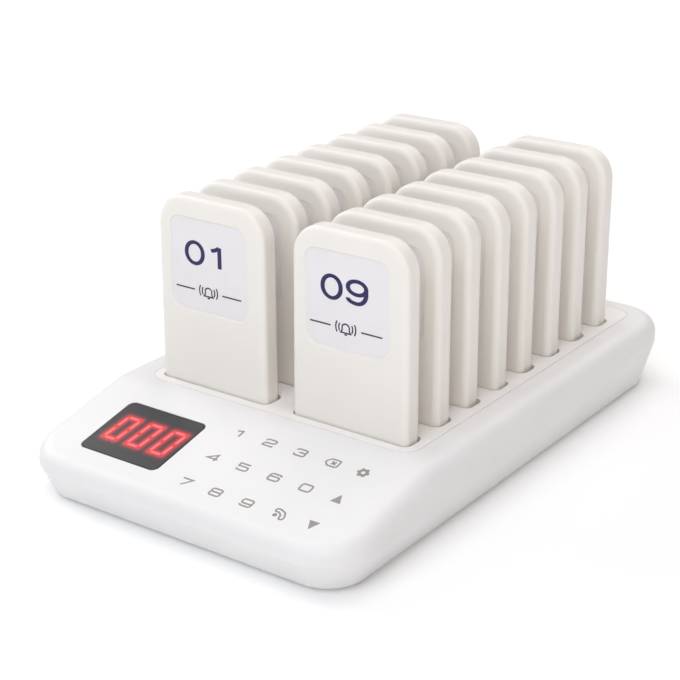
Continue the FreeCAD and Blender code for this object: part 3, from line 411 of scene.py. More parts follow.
# What the base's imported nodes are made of.
NODE_FINISHES: dict[str, Finish] = {
    "top_casing": CASING_ABS,
    "bottom_casing": CASING_ABS,
    "dock_insert": INSERT_ABS,
    "display_window": SMOKED_ACRYLIC,
    "display_module": BLACK_MOULDING,
    "keypad_board": SOLDER_MASK,
    "control_board": SOLDER_MASK,
    "charging_board": SOLDER_MASK,
    "charging_contacts": GOLD_PLATE,
    "dc_jack": BLACK_MOULDING,
    "feet": FOOT_RUBBER,
    "screws": ZINC_PLATE,
}


# ---------------------------------------------------------------------------------------------
# Shapes
# ---------------------------------------------------------------------------------------------

class CornerForm(Enum):
    """How the corner of an outline is broken."""

    ROUND = "round"
    BEVEL = "bevel"


@dataclass(frozen=True)
class Corner:
    """A corner's radius or the length of its bevel's legs, mm."""

    size: float
    form: CornerForm = CornerForm.ROUND


@dataclass(frozen=True)
class Outline:
    """Rectangle about its own middle, with shaped corners, in millimetres.

    Attributes:
        width: Size across.
        height: Size up.
        top: Both upper corners.
        foot: Both lower corners.
    """

    width: float
    height: float
    top: Corner
    foot: Corner

    @staticmethod
    def rounded(width: float, height: float, radius: float) -> "Outline":
        """Returns an outline with four round corners."""
        return Outline(width, height, Corner(radius), Corner(radius))

    def loop(self, inset: float = 0.0, steps: int = 12, along: int = 0) -> list[Flat]:
        """Walks round the outline, anticlockwise from the lower right corner.

        Args:
            inset: How far inside the outline the walk runs.
            steps: Stretches in each corner.
            along: Points added to each straight side.

        Returns:
            The points, as many for any inset.
        """
        smallest = 0.02
        points: list[Flat] = []
        corners = ((1, -1, self.foot), (1, 1, self.top), (-1, 1, self.top), (-1, -1, self.foot))
        for turn, (right, up, corner) in enumerate(corners):
            rounded = corner.form is CornerForm.ROUND
            # A radius loses the whole inset. A bevel's legs lose less, so that it stays parallel.
            shrink = 1.0 if rounded else 2.0 - math.sqrt(2.0)
            size = max(corner.size - shrink * inset, smallest)
            middle = (right * (self.width / 2 - inset - size),
                      up * (self.height / 2 - inset - size))
            start = math.radians(90.0 * (turn - 1))
            arc = [self.on_arc(middle, size, start + step / steps * math.pi / 2)
                   for step in range(steps + 1)]
            if points and along:
                points += self.between(points[-1], arc[0], along)
            if not rounded:
                arc[1:-1] = self.between(arc[0], arc[-1], steps - 1)
            points += arc
        if along:
            points += self.between(points[-1], points[0], along)
        return points

    @staticmethod
    def on_arc(middle: Flat, radius: float, angle: float) -> Flat:
        """Returns the point of a circle at an angle."""
        return middle[0] + radius * math.cos(angle), middle[1] + radius * math.sin(angle)

    @staticmethod
    def between(first: Flat, last: Flat, count: int) -> list[Flat]:
        """Spaces points evenly between two others.

        Args:
            first: The point before them.
            last: The point after them.
            count: How many there are.

        Returns:
            The points, without those two.
        """
        shares = [(index + 1) / (count + 1) for index in range(count)]
        return [(first[0] + share * (last[0] - first[0]), first[1] + share * (last[1] - first[1]))
                for share in shares]


@dataclass(frozen=True)
class Surface:
    """A flat place on the object that things are laid on.

    Attributes:
        origin: Its middle, in metres.
        across: Unit vector to its right.
        up: Unit vector up along it.
    """

    origin: Vector
    across: Vector
    up: Vector

    @property
    def normal(self) -> Vector:
        """The direction out of the surface."""
        return self.across.cross(self.up)

    def point(self, u: float, v: float, height: float = 0.0) -> Vector:
        """Turns a place on the surface into a place in the model.

        Args:
            u: Millimetres to the right.
            v: Millimetres up along the surface.
            height: Millimetres out of it.

        Returns:
            The point, in metres.
        """
        return self.origin + (self.across * u + self.up * v + self.normal * height) * MM

    def loop(self, points: Iterable[Flat], height: float) -> list[Vector]:
        """Returns flat points laid on the surface, at one height above it."""
        return [self.point(u, v, height) for u, v in points]

    def moved(self, u: float, v: float) -> "Surface":
        """Returns the same surface with its middle moved along it."""
        return Surface(self.point(u, v), self.across, self.up)


def to_mesh(bm: bmesh.types.BMesh, name: str) -> bpy.types.Mesh:
    """Turns a bmesh into a smooth mesh with sharp creases.

    Args:
        bm: The bmesh, which is freed.
        name: The mesh's name.

    Returns:
        The mesh.
    """
    bmesh.ops.recalc_face_normals(bm, faces=bm.faces)
    for face in bm.faces:
        face.smooth = True
    mesh = bpy.data.meshes.new(name)
    bm.to_mesh(mesh)
    bm.free()
    mesh.set_sharp_from_angle(angle=math.radians(CREASE))
    return mesh


def add_skin(bm: bmesh.types.BMesh, loops: Sequence[Sequence[Vector]]) -> None:
    """Skins a closed solid over loops of equally many points, with a flat face at both ends.

    Args:
        bm: Where it goes.
        loops: The loops, from one end of the skin to the other.
    """
    rings = [[bm.verts.new(point) for point in loop] for loop in loops]
    for lower, upper in zip(rings, rings[1:]):
        for index in range(len(lower)):
            after = (index + 1) % len(lower)
            bm.faces.new((lower[index], lower[after], upper[after], upper[index]))
    bm.faces.new(rings[0])
    bm.faces.new(rings[-1])


def loft(name: str, loops: Sequence[Sequence[Vector]]) -> bpy.types.Mesh:
    """Makes a mesh of one skin over loops.

    Args:
        name: The mesh's name.
        loops: The loops, from one end of the skin to the other.

    Returns:
        The mesh.
    """
    bm = bmesh.new()
    add_skin(bm, loops)
    return to_mesh(bm, name)


def add_prism(bm: bmesh.types.BMesh, outline: Sequence[Flat], surface: Surface,
              heights: Flat) -> None:
    """Adds a flat plate with straight sides.

    Args:
        bm: Where it goes.
        outline: Its outline, in order.
        surface: What it lies on.
        heights: Its underside and its top above the surface, mm.
    """
    add_skin(bm, [surface.loop(outline, height) for height in heights])


def add_piece(name: str, mesh: bpy.types.Mesh, finish: Finish, body: str,
              at: Vector | None = None) -> bpy.types.Object:
    """Puts a mesh into the scene as a piece that rides on a body.

    Args:
        name: The piece's name.
        mesh: Its mesh, which several pieces may share.
        finish: What it is made of.
        body: The body that it moves with.
        at: Where the mesh's own origin goes, in metres.

    Returns:
        The piece.
    """
    piece = bpy.data.objects.new(name, mesh)
    if not mesh.materials:
        mesh.materials.append(finish.material())
    piece.location = at if at else Vector()
    bpy.context.scene.collection.objects.link(piece)
    normals = piece.modifiers.new("even_normals", "WEIGHTED_NORMAL")
    normals.keep_sharp = True
    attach(piece, body)
    log.info("%s: %s, on %s", name, finish.name, body)
    return piece


def dress_node(name: str, finish: Finish) -> None:
    """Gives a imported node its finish."""
    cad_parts[name].material_slots[0].material = finish.material()
    log.info("%s: %s", name, finish.name)


# ---------------------------------------------------------------------------------------------
# Lettering
# ---------------------------------------------------------------------------------------------

@dataclass(frozen=True)
class Stroke:
    """One pull of the pen in a box from (0, 0) to (1, 1).

    Attributes:
        corners: Points of the path, each with the share of the pen's radius that rounds it.
        closed: Whether the path returns to its start.
    """

    corners: tuple[tuple[float, float, float], ...]
    closed: bool = False

    def path(self, width: float, height: float, radius: float, steps: int = 7) -> list[Flat]:
        """Draws the stroke in a box of a real size, with its corners rounded.

        Args:
            width: The box's width, mm.
            height: The box's height, mm.
            radius: Radius of a fully rounded corner, mm.
            steps: Stretches in each rounded corner.

        Returns:
            Points along the middle of the stroke, about the box's middle.
        """
        spots = [Vector(((x - 0.5) * width, (y - 0.5) * height)) for x, y, _ in self.corners]
        count = len(spots)
        points: list[Flat] = []
        for index, spot in enumerate(spots):
            share = self.corners[index][2]
            ends = not self.closed and index in (0, count - 1)
            if ends or share == 0.0:
                points.append(tuple(spot))
                continue
            before, after = spots[index - 1] - spot, spots[(index + 1) % count] - spot
            turn = math.pi - before.angle(after)
            leg = radius * share * math.tan(turn / 2)
            first = spot + before.normalized() * min(leg, self.room(index, -1, before.length))
            last = spot + after.normalized() * min(leg, self.room(index, 1, after.length))
            for step in range(steps + 1):
                points.append(tuple(self.bend(first, spot, last, step / steps)))
        return points

    def room(self, index: int, way: int, length: float) -> float:
        """Finds how much of a side a rounded corner may take.

        Args:
            index: The corner.
            way: -1 for the side before it, 1 for the side after it.
            length: That side's length, mm.

        Returns:
            Half of the side if its other end is rounded too, or else nearly all of it, mm.
        """
        shared, alone = 0.5, 0.98
        neighbour = self.corners[(index + way) % len(self.corners)]
        return length * (shared if neighbour[2] > 0.0 else alone)

    @staticmethod
    def bend(first: Vector, corner: Vector, last: Vector, share: float) -> Vector:
        """Finds a point of the near-circular curve that rounds a corner.

        Args:
            first: Where the curve starts.
            corner: The corner that it hugs.
            last: Where it ends.
            share: How far along it the point is, from 0 to 1.

        Returns:
            The point.
        """
        weight = math.sqrt(0.5)
        back, middle, ahead = (1 - share) ** 2, 2 * share * (1 - share) * weight, share ** 2
        return (first * back + corner * middle + last * ahead) / (back + middle + ahead)


DIGITS: dict[str, tuple[Stroke, ...]] = {
    "0": (Stroke(((0, 0, 1), (1, 0, 1), (1, 1, 1), (0, 1, 1)), closed=True),),
    "1": (Stroke(((0.62, 1, 0), (0.62, 0, 0))),
          Stroke(((0.12, 0.78, 0), (0.4, 0.84, 1), (0.6, 0.98, 0)))),
    "2": (Stroke(((0, 0.74, 0), (0, 1, 1), (1, 1, 1), (1, 0.5, 0.9), (0, 0.42, 0.9), (0, 0, 0),
                  (1, 0, 0))),),
    "3": (Stroke(((0, 0.78, 0), (0, 1, 1), (1, 1, 1), (1, 0.52, 0.8), (0.34, 0.52, 0))),
          Stroke(((0.34, 0.52, 0), (1, 0.52, 0.8), (1, 0, 1), (0, 0, 1), (0, 0.22, 0)))),
    "4": (Stroke(((0.8, 0, 0), (0.8, 1, 0), (0, 0.3, 0), (0.6, 0.3, 0))),
          Stroke(((0.6, 0.3, 0), (1.02, 0.3, 0)))),
    "5": (Stroke(((0.98, 1, 0), (0, 1, 0), (0, 0.58, 0), (1, 0.58, 0.9), (1, 0, 1), (0, 0, 1),
                  (0, 0.2, 0))),),
    "6": (Stroke(((0, 0.3, 0), (0, 1, 1), (1, 1, 1), (1, 0.8, 0))),
          Stroke(((0, 0, 1), (1, 0, 1), (1, 0.6, 0.9), (0, 0.6, 0.9)), closed=True)),
    "7": (Stroke(((0, 1, 0), (1, 1, 0), (0.3, 0, 0))),),
    "8": (Stroke(((0, 0.52, 0.8), (1, 0.52, 0.8), (1, 1, 1), (0, 1, 1)), closed=True),
          Stroke(((0, 0, 1), (1, 0, 1), (1, 0.52, 0.8), (0, 0.52, 0.8)), closed=True)),
    "9": (Stroke(((1, 0.7, 0), (1, 0, 1), (0, 0, 1), (0, 0.2, 0))),
          Stroke(((0, 0.4, 0.9), (1, 0.4, 0.9), (1, 1, 1), (0, 1, 1)), closed=True)),
}


@dataclass(frozen=True)
class Pen:
    """What draws printed marks.

    Attributes:
        width: Width of its line, mm.
        layer: Thickness of the ink, mm.
        lift: Gap under the ink, so that it doesn't share a plane with what it lies on, mm.
    """

    width: float
    layer: float = 0.03
    lift: float = 0.01

    @property
    def heights(self) -> Flat:
        """Underside and top of the ink."""
        return self.lift, self.lift + self.layer

    def draw(self, bm: bmesh.types.BMesh, path: Sequence[Flat], closed: bool,
             surface: Surface) -> None:
        """Draws one line of even width.

        Args:
            bm: Where it goes.
            path: Points along its middle.
            closed: Whether it returns to its start.
            surface: What it is printed on.
        """
        sides = [self.sides(path, index, closed) for index in range(len(path))]
        low, high = self.heights
        rings = [[bm.verts.new(surface.point(*side, height))
                  for side, height in ((left, low), (right, low), (right, high), (left, high))]
                 for left, right in sides]
        last = len(rings) if closed else len(rings) - 1
        for index in range(last):
            here, there = rings[index], rings[(index + 1) % len(rings)]
            for side in range(4):
                after = (side + 1) % 4
                bm.faces.new((here[side], here[after], there[after], there[side]))
        if not closed:
            bm.faces.new(rings[0])
            bm.faces.new(rings[-1])

    def sides(self, path: Sequence[Flat], index: int, closed: bool) -> tuple[Flat, Flat]:
        """Finds the line's two sides at one of its points.

        Args:
            path: Points along its middle.
            index: Which point.
            closed: Whether the path returns to its start.

        Returns:
            The points to its left and its right.
        """
        # The least cosine of half a turn keeps the mitre short, and the least step has a direction.
        least_cosine, least_step = 0.35, 1e-6
        here = Vector(path[index])
        count = len(path)
        before = here - Vector(path[index - 1]) if closed or index > 0 else None
        after = Vector(path[(index + 1) % count]) - here if closed or index < count - 1 else None
        ways = [way.normalized() for way in (before, after)
                if way is not None and way.length > least_step]
        normals = [Vector((-way.y, way.x)) for way in ways]
        middle = sum(normals, Vector((0.0, 0.0))).normalized()
        reach = self.width / 2 / max(middle.dot(normals[0]), least_cosine)
        return tuple(here + middle * reach), tuple(here - middle * reach)


@dataclass(frozen=True)
class DigitStyle:
    """The shape of a set of printed digits, in millimetres.

    Attributes:
        width: Between the middles of a digit's outer strokes.
        height: The same, upwards.
        radius: Of a rounded corner.
        stroke: Width of a horizontal stroke.
        stretch: How much wider the upright strokes are than the others.
    """

    width: float
    height: float
    radius: float
    stroke: float
    stretch: float = 1.0

    def draw(self, bm: bmesh.types.BMesh, digit: str, surface: Surface) -> None:
        """Prints one digit about a surface's middle.

        Args:
            bm: Where it goes.
            digit: Which digit.
            surface: Where it is printed.
        """
        narrow, thicker = self.width / self.stretch, 0.008
        first = len(bm.verts)
        for order, stroke in enumerate(DIGITS[digit]):
            # Each stroke is a little thicker than the one before, so that crossings share no plane.
            pen = Pen(self.stroke, layer=Pen.layer + thicker * order)
            pen.draw(bm, stroke.path(narrow, self.height, self.radius), stroke.closed, surface)
        bm.verts.ensure_lookup_table()
        for vert in bm.verts[first:]:
            sideways = (vert.co - surface.origin).dot(surface.across)
            vert.co += surface.across * sideways * (self.stretch - 1.0)


# ---------------------------------------------------------------------------------------------
# Pagers
# ---------------------------------------------------------------------------------------------

@dataclass(frozen=True)
class PagerShape:
    """Sizes that all pagers share, in millimetres, with depths counted from the front face.

    Attributes:
        width: Across.
        height: Foot to top.
        thickness: Front face to back.
        parting: Depth of the line where the two shells meet.
        top_radius: Round corners at the top.
        foot_bevel: Bevels at the foot, which lead it into its well.
        front_round: How wide and how deep the front edge is rounded.
        rear_round: The same at the back.
        draft: How far each side leans in by the top.
        wall: Thickness of the shells' faces.
        side_wall: Thickness of their sides.
        groove: Depth and half width of the parting groove.
        recess: Depth of the label's recess.
        recess_outline: Upper edge of the recess.
        recess_slope: Width of the recess's sloping sides.
        recess_middle: Its middle above the foot.
        recess_shift: Its middle to the right of the pager's.
    """

    width: float
    height: float
    thickness: float
    parting: float
    top_radius: float = 12.8
    foot_bevel: float = 4.5
    front_round: Flat = (3.2, 2.4)
    rear_round: Flat = (6.0, 3.4)
    draft: float = 0.55
    wall: float = 1.8
    side_wall: float = 2.2
    groove: Flat = (0.22, 0.14)
    recess: float = 0.55
    recess_outline: Outline = Outline.rounded(40.0, 39.4, 5.4)
    recess_slope: float = 0.45
    recess_middle: float = 71.45
    recess_shift: float = -0.45

    @property
    def outline(self) -> Outline:
        """The pager seen from the front."""
        return Outline(self.width, self.height, Corner(self.top_radius),
                       Corner(self.foot_bevel, CornerForm.BEVEL))

    def lay(self, points: Iterable[Flat], depth: float, up: float = 0.0,
            side: float = 0.0) -> list[Vector]:
        """Stands flat points upright, parallel to the pager's face.

        Args:
            points: Points about a middle, mm.
            depth: How far behind the front face they lie.
            up: The middle's height above the pager's own.
            side: The middle's distance to the right of the pager's own.

        Returns:
            The points about the pager's middle, in metres.
        """
        return [Vector((x + side, depth, z + up)) * MM for x, z in points]

    def ring(self, inset: float, depth: float) -> list[Vector]:
        """Stands the drafted outline at a depth.

        Args:
            inset: How far inside the outline it runs.
            depth: How far behind the front face it lies.

        Returns:
            The points about the pager's middle, in metres.
        """
        lean = 2.0 * self.draft / self.width
        return self.lay([(x * (1.0 - lean * (z / self.height + 0.5)), z)
                         for x, z in self.outline.loop(inset)], depth)

    def edge(self, rounding: Flat, face: float, inwards: int) -> list[list[Vector]]:
        """Rolls the outline over an edge.

        Args:
            rounding: Width and depth of the rounding.
            face: Depth of the flat face that the edge leads to.
            inwards: 1 where the shell lies behind that face, -1 where it lies before it.

        Returns:
            The loops, from the side wall to the face.
        """
        steps = 9
        loops = []
        for step in range(steps + 1):
            angle = math.pi / 2 * step / steps
            inset = rounding[0] * (1.0 - math.cos(angle))
            depth = face + inwards * rounding[1] * (1.0 - math.sin(angle))
            loops.append(self.ring(inset, depth))
        return loops

    def recess_loops(self) -> list[list[Vector]]:
        """Draws the recess's sides, which run in an S from the front face to its floor.

        Returns:
            The loops, from the face down.
        """
        steps = 6
        up = self.recess_middle - self.height / 2
        loops = []
        for step in range(steps + 1):
            share = step / steps
            depth = self.recess * share * share * (3.0 - 2.0 * share)
            ring = self.recess_outline.loop(self.recess_slope * share)
            loops.append(self.lay(ring, depth, up, self.recess_shift))
        return loops

    def lip(self, floor: float, way: int) -> list[list[Vector]]:
        """Draws a shell from its inner floor to its lip and out to its side.

        Args:
            floor: Depth of the inner floor.
            way: -1 for the front shell, 1 for the rear one.

        Returns:
            The loops, from the floor to the side.
        """
        groove, half = self.groove
        return [self.ring(self.side_wall, floor), self.ring(self.side_wall, self.parting),
                self.ring(groove, self.parting), self.ring(0.0, self.parting + way * half)]

    def front_mesh(self) -> bpy.types.Mesh:
        """Skins the front shell, from its inner floor out and round to the label's recess.

        Returns:
            The mesh, about the middle of the pager's front face.
        """
        loops = self.lip(self.wall + self.recess, -1) + self.edge(self.front_round, 0.0, 1)
        return loft("pager_front_shell", loops + self.recess_loops())

    def rear_mesh(self) -> bpy.types.Mesh:
        """Skins the rear shell, from its inner floor out and round to its back.

        Returns:
            The mesh, about the middle of the pager's front face.
        """
        loops = self.lip(self.thickness - self.wall, 1)
        return loft("pager_rear_shell", loops + self.edge(self.rear_round, self.thickness, -1))


@dataclass
class PagerLabel:
    """The paper label in a pager's recess, with the pager's number and a bell.

    Attributes:
        shape: The pager's sizes.
        film: Thickness of the label.
        outline: The label's edge.
        off_centre: The label's middle from the recess's.
        style: Its digits.
        digit_pitch: Distance between the digits' middles.
        number_place: The number's middle from the recess's.
        bell_place: The bell's middle from the recess's.
        bell_size: The bell's width and height, and the radius of its shoulders.
        bell_line: Width of the line that draws it.
        clapper: Half the clapper's width, and its height from the bell's middle.
        waves: Radii of the sound waves at both sides.
        rule: Where the rules at both sides start and end, from the bell's middle.
    """

    shape: PagerShape
    film: float = 0.12
    outline: Outline = Outline.rounded(37.9, 38.2, 4.9)
    off_centre: Flat = (-0.45, 0.05)
    style: DigitStyle = DigitStyle(8.3, 8.8, 4.2, 1.5, 1.3)
    digit_pitch: float = 11.6
    number_place: Flat = (-1.6, 5.2)
    bell_place: Flat = (-0.9, -10.2)
    bell_size: tuple[float, float, float] = (4.6, 3.6, 1.7)
    bell_line: float = 0.62
    clapper: Flat = (0.6, -2.5)
    waves: Flat = (3.2, 4.6)
    rule: Flat = (7.0, 16.6)

    def surface(self, lift: float = 0.0) -> Surface:
        """Finds the recess's floor, or a plane lifted off it.

        Args:
            lift: How far the plane is above the floor, mm.

        Returns:
            The plane about the recess's middle, counted from the middle of the front face.
        """
        shape = self.shape
        up = shape.recess_middle - shape.height / 2
        return Surface(Vector((shape.recess_shift, shape.recess - lift, up)) * MM, RIGHT, UP)

    def paper_mesh(self) -> bpy.types.Mesh:
        """Makes the label itself, pressed down along its border.

        Returns:
            The mesh, about the pager's middle.
        """
        border, ramp, pressed = 0.9, 0.6, 0.5 * self.film
        floor = self.surface().moved(*self.off_centre)
        levels = ((0.0, 0.0), (0.0, pressed), (border, pressed), (border + ramp, self.film))
        return loft("label_paper", [floor.loop(self.outline.loop(inset), height)
                                    for inset, height in levels])

    def number_mesh(self, number: int) -> bpy.types.Mesh:
        """Prints a pager's two-digit number.

        Args:
            number: The pager's number.

        Returns:
            The mesh, about the pager's middle.
        """
        bm = bmesh.new()
        place = self.surface(self.film).moved(*self.number_place)
        for index, digit in enumerate(f"{number:02d}"):
            self.style.draw(bm, digit, place.moved((index - 0.5) * self.digit_pitch, 0.0))
        return to_mesh(bm, f"number_{number:02d}")

    def bell_mesh(self) -> bpy.types.Mesh:
        """Prints a small ringing bell between two rules.

        Returns:
            The mesh, about the pager's middle.
        """
        bm = bmesh.new()
        place = self.surface(self.film).moved(*self.bell_place)
        pen = Pen(self.bell_line)
        dome = Stroke(((0.0, 0.0, 0.0), (0.14, 0.25, 0.6), (0.14, 1.0, 1.0), (0.86, 1.0, 1.0),
                       (0.86, 0.25, 0.6), (1.0, 0.0, 0.0)), closed=True)
        pen.draw(bm, dome.path(*self.bell_size), True, place)
        half, drop = self.clapper
        pen.draw(bm, [(-half, drop), (half, drop)], False, place)
        angles, rise = (-0.5, -0.25, 0.0, 0.25, 0.5), 0.2
        for side in (-1, 1):
            for reach in self.waves:
                arc = [(side * reach * math.cos(angle), rise + reach * math.sin(angle))
                       for angle in angles]
                pen.draw(bm, arc, False, place)
            pen.draw(bm, [(side * end, 0.0) for end in self.rule], False, place)
        return to_mesh(bm, "label_bell")


@dataclass
class PagerSet:
    """The sixteen pagers in their wells.

    Attributes:
        count: How many pagers there are.
        contact_pitch: Distance between the two charging contacts of a pager, mm.
        contact_size: Their width and depth, mm.
        contact_depth: Their middle behind the front face, mm.
    """

    count: int = 16
    contact_pitch: float = 24.0
    contact_size: Flat = (5.0, 2.2)
    contact_depth: float = 5.0

    def build(self) -> None:
        """Makes every pager's shells, label and contacts, and sets them where the frame has it."""
        shape = self.shape()
        label = PagerLabel(shape)
        meshes = {"front": shape.front_mesh(), "rear": shape.rear_mesh(),
                  "label": label.paper_mesh(), "bell": label.bell_mesh()}
        contacts = self.contact_mesh(shape)
        for number in range(1, self.count + 1):
            body = f"pager_{number:02d}"
            middle = self.middle(body)
            for half in ("front", "rear"):
                piece = add_piece(f"{body}_{half}", meshes[half], PAGER_ABS, body,
                                  middle)
                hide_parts(f"{body}_{half}_shell")
            add_piece(f"{body}_label", meshes["label"], LABEL_PAPER, body, middle)
            add_piece(f"{body}_bell", meshes["bell"], SMALL_INK, body, middle)
            add_piece(f"{body}_number", label.number_mesh(number), LABEL_INK, body,
                      middle)
            add_piece(f"{body}_contacts", contacts, GOLD_PLATE, body, middle)
            dress_node(f"{body}_works", PAGER_WORKS)

    @staticmethod
    def shape() -> PagerShape:
        """Reads the pagers' overall sizes from the frame.

        Returns:
            The shape that all of them share.
        """
        low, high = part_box("pager_01_front_shell")
        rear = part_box("pager_01_rear_shell")[1].y
        return PagerShape(width=(high.x - low.x) / MM, height=(high.z - low.z) / MM,
                          thickness=(rear - low.y) / MM, parting=(high.y - low.y) / MM)

    @staticmethod
    def middle(body: str) -> Vector:
        """Returns the middle of a pager's front face, in metres."""
        low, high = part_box(f"{body}_front_shell")
        return Vector(((low.x + high.x) / 2, low.y, (low.z + high.z) / 2))

    def contact_mesh(self, shape: PagerShape) -> bpy.types.Mesh:
        """Makes the two contact plates in a pager's foot, a hair proud of it.

        Args:
            shape: The pager's sizes.

        Returns:
            The mesh, about the pager's middle.
        """
        proud, sunk, corner = 0.05, 0.4, 0.5
        outline = Outline.rounded(*self.contact_size, corner)
        bm = bmesh.new()
        for side in (-1, 1):
            origin = Vector((side * self.contact_pitch / 2, self.contact_depth, -shape.height / 2))
            add_prism(bm, outline.loop(steps=4), Surface(origin * MM, RIGHT, -BACK), (-sunk, proud))
        return to_mesh(bm, "pager_contacts")


# ---------------------------------------------------------------------------------------------
# Display
# ---------------------------------------------------------------------------------------------

@dataclass(frozen=True)
class Bar:
    """One lit bar of a seven-segment digit, from end to end of its middle line."""

    start: Vector
    end: Vector

    def distance(self, spot: Vector) -> float:
        """Measures how far a spot is from the bar's middle line.

        Args:
            spot: The spot, about the window's middle, mm.

        Returns:
            The distance, mm.
        """
        line = self.end - self.start
        share = max(0.0, min(1.0, (spot - self.start).dot(line) / line.length_squared))
        return (spot - self.start - line * share).length


@dataclass
class Display:
    """The smoked window in the keypad deck with three lit zeros behind it, in millimetres.

    Attributes:
        deck: The keypad deck's surface about the window's middle.
        width: Window across.
        depth: Window down the slope.
        thickness: Of its acrylic.
        corner: Radius of its corners.
        digits: How many digits it has.
        digit_pitch: Distance between digits.
        digit_size: Between the middles of a digit's outer bars, across and up.
        digits_shift: Their middle from the window's.
        lean: Slant of the digits, degrees.
        bar: Width of a bar.
        joint: Gap at a corner between bars, along them.
        waist: Gap at half height, along the bars.
        halo: How far the light spreads in the acrylic.
    """

    deck: Surface
    width: float
    depth: float
    thickness: float = 1.5
    corner: float = 3.0
    digits: int = 3
    digit_pitch: float = 11.8
    digit_size: Flat = (6.1, 14.0)
    digits_shift: Flat = (0.85, 0.0)
    lean: float = 4.2
    bar: float = 1.9
    joint: float = 0.05
    waist: float = 0.2
    halo: float = 3.2

    def build(self) -> None:
        """Makes the window and its digits."""
        window = add_piece("display_glass", self.window_mesh(), SMOKED_ACRYLIC, "base")
        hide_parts("display_window")
        for index in range(self.digits):
            add_piece(f"display_digit_{index + 1}", self.digit_mesh(index), LIT_SEGMENT, "base")

    def bars(self, index: int) -> list[Bar]:
        """Lays out the six bars of a zero.

        Args:
            index: Which digit, from the left.

        Returns:
            The bars, about the window's middle.
        """
        half_width, half_height = self.digit_size[0] / 2, self.digit_size[1] / 2
        across = (index - (self.digits - 1) / 2) * self.digit_pitch
        middle = Vector((self.digits_shift[0] + across, self.digits_shift[1]))
        spots = [(-1, 0), (-1, 1), (1, 1), (1, 0), (1, -1), (-1, -1)]
        leaning = math.tan(math.radians(self.lean))
        points = []
        for right, up in spots:
            height = up * half_height
            points.append(middle + Vector((right * half_width + height * leaning, height)))
        bars = []
        for place, end in enumerate(points):
            start = points[place - 1]
            way = (end - start).normalized() * self.waist
            # The waist's gap is left only at the spots of half height, whose up is 0.
            bars.append(Bar(start if spots[place - 1][1] else start + way,
                            end if spots[place][1] else end - way))
        return bars

    def digit_mesh(self, index: int) -> bpy.types.Mesh:
        """Makes a digit's bars, with the attribute core along their middles.

        Args:
            index: Which digit, from the left.

        Returns:
            The mesh.
        """
        low, high = 0.01, 0.04
        bm = bmesh.new()
        core = bm.verts.layers.float.new("core")
        for bar in self.bars(index):
            way = (bar.end - bar.start).normalized()
            side = Vector((-way.y, way.x)) * self.bar / 2
            first, last = bar.start + way * self.joint, bar.end - way * self.joint
            near, far = first + way * self.bar / 2, last - way * self.bar / 2
            rim = [first, near - side, far - side, last, far + side, near + side]
            floor, top, (one, two) = [
                [bm.verts.new(self.deck.point(*spot, height)) for spot in spots]
                for spots, height in ((rim, low), (rim, high), ((near, far), high))]
            one[core] = two[core] = 1.0
            for place in range(len(rim)):
                after = (place + 1) % len(rim)
                bm.faces.new((floor[place], floor[after], top[after], top[place]))
            for face in (floor, (top[0], top[1], one), (top[1], top[2], two, one),
                         (top[2], top[3], two), (top[3], top[4], two),
                         (top[4], top[5], one, two), (top[5], top[0], one)):
                bm.faces.new(face)
        return to_mesh(bm, f"display_digit_{index + 1}")

    def window_mesh(self) -> bpy.types.Mesh:
        """Makes the window, its top finely divided to carry the attributes glow and border.

        Returns:
            The mesh.
        """
        broken, border, left = 0.15, 0.55, 0.03
        rings, corner_steps, along = 46, 6, 56
        outline = Outline.rounded(self.width, self.depth, self.corner)
        levels = [(0.0, -self.thickness), (0.0, -broken), (broken, 0.0)]
        reach = self.depth / 2 - left - broken
        levels += [(broken + reach * (ring + 1) / rings, 0.0) for ring in range(rings)]
        loops = [outline.loop(inset, corner_steps, along) for inset, _ in levels]
        mesh = loft("display_glass", [self.deck.loop(loop, height)
                                      for loop, (_, height) in zip(loops, levels)])
        bars = [bar for index in range(self.digits) for bar in self.bars(index)]
        glow = mesh.attributes.new("glow", "FLOAT", "POINT")
        edge = mesh.attributes.new("border", "FLOAT", "POINT")
        place = 0
        for loop, (inset, _) in zip(loops, levels):
            for spot in loop:
                gap = min(bar.distance(Vector(spot)) for bar in bars) - self.bar / 2
                glow.data[place].value = max(0.0, 1.0 - max(gap, 0.0) / self.halo) ** 2
                edge.data[place].value = 1.0 if inset < border else 0.0
                place += 1
        return mesh


# ---------------------------------------------------------------------------------------------
# Keypad
# ---------------------------------------------------------------------------------------------

class Key(Enum):
    """The keys of the keypad that aren't digits."""

    ERASE = "erase"
    SETTINGS = "settings"
    UP = "up"
    DOWN = "down"
    CALL = "call"


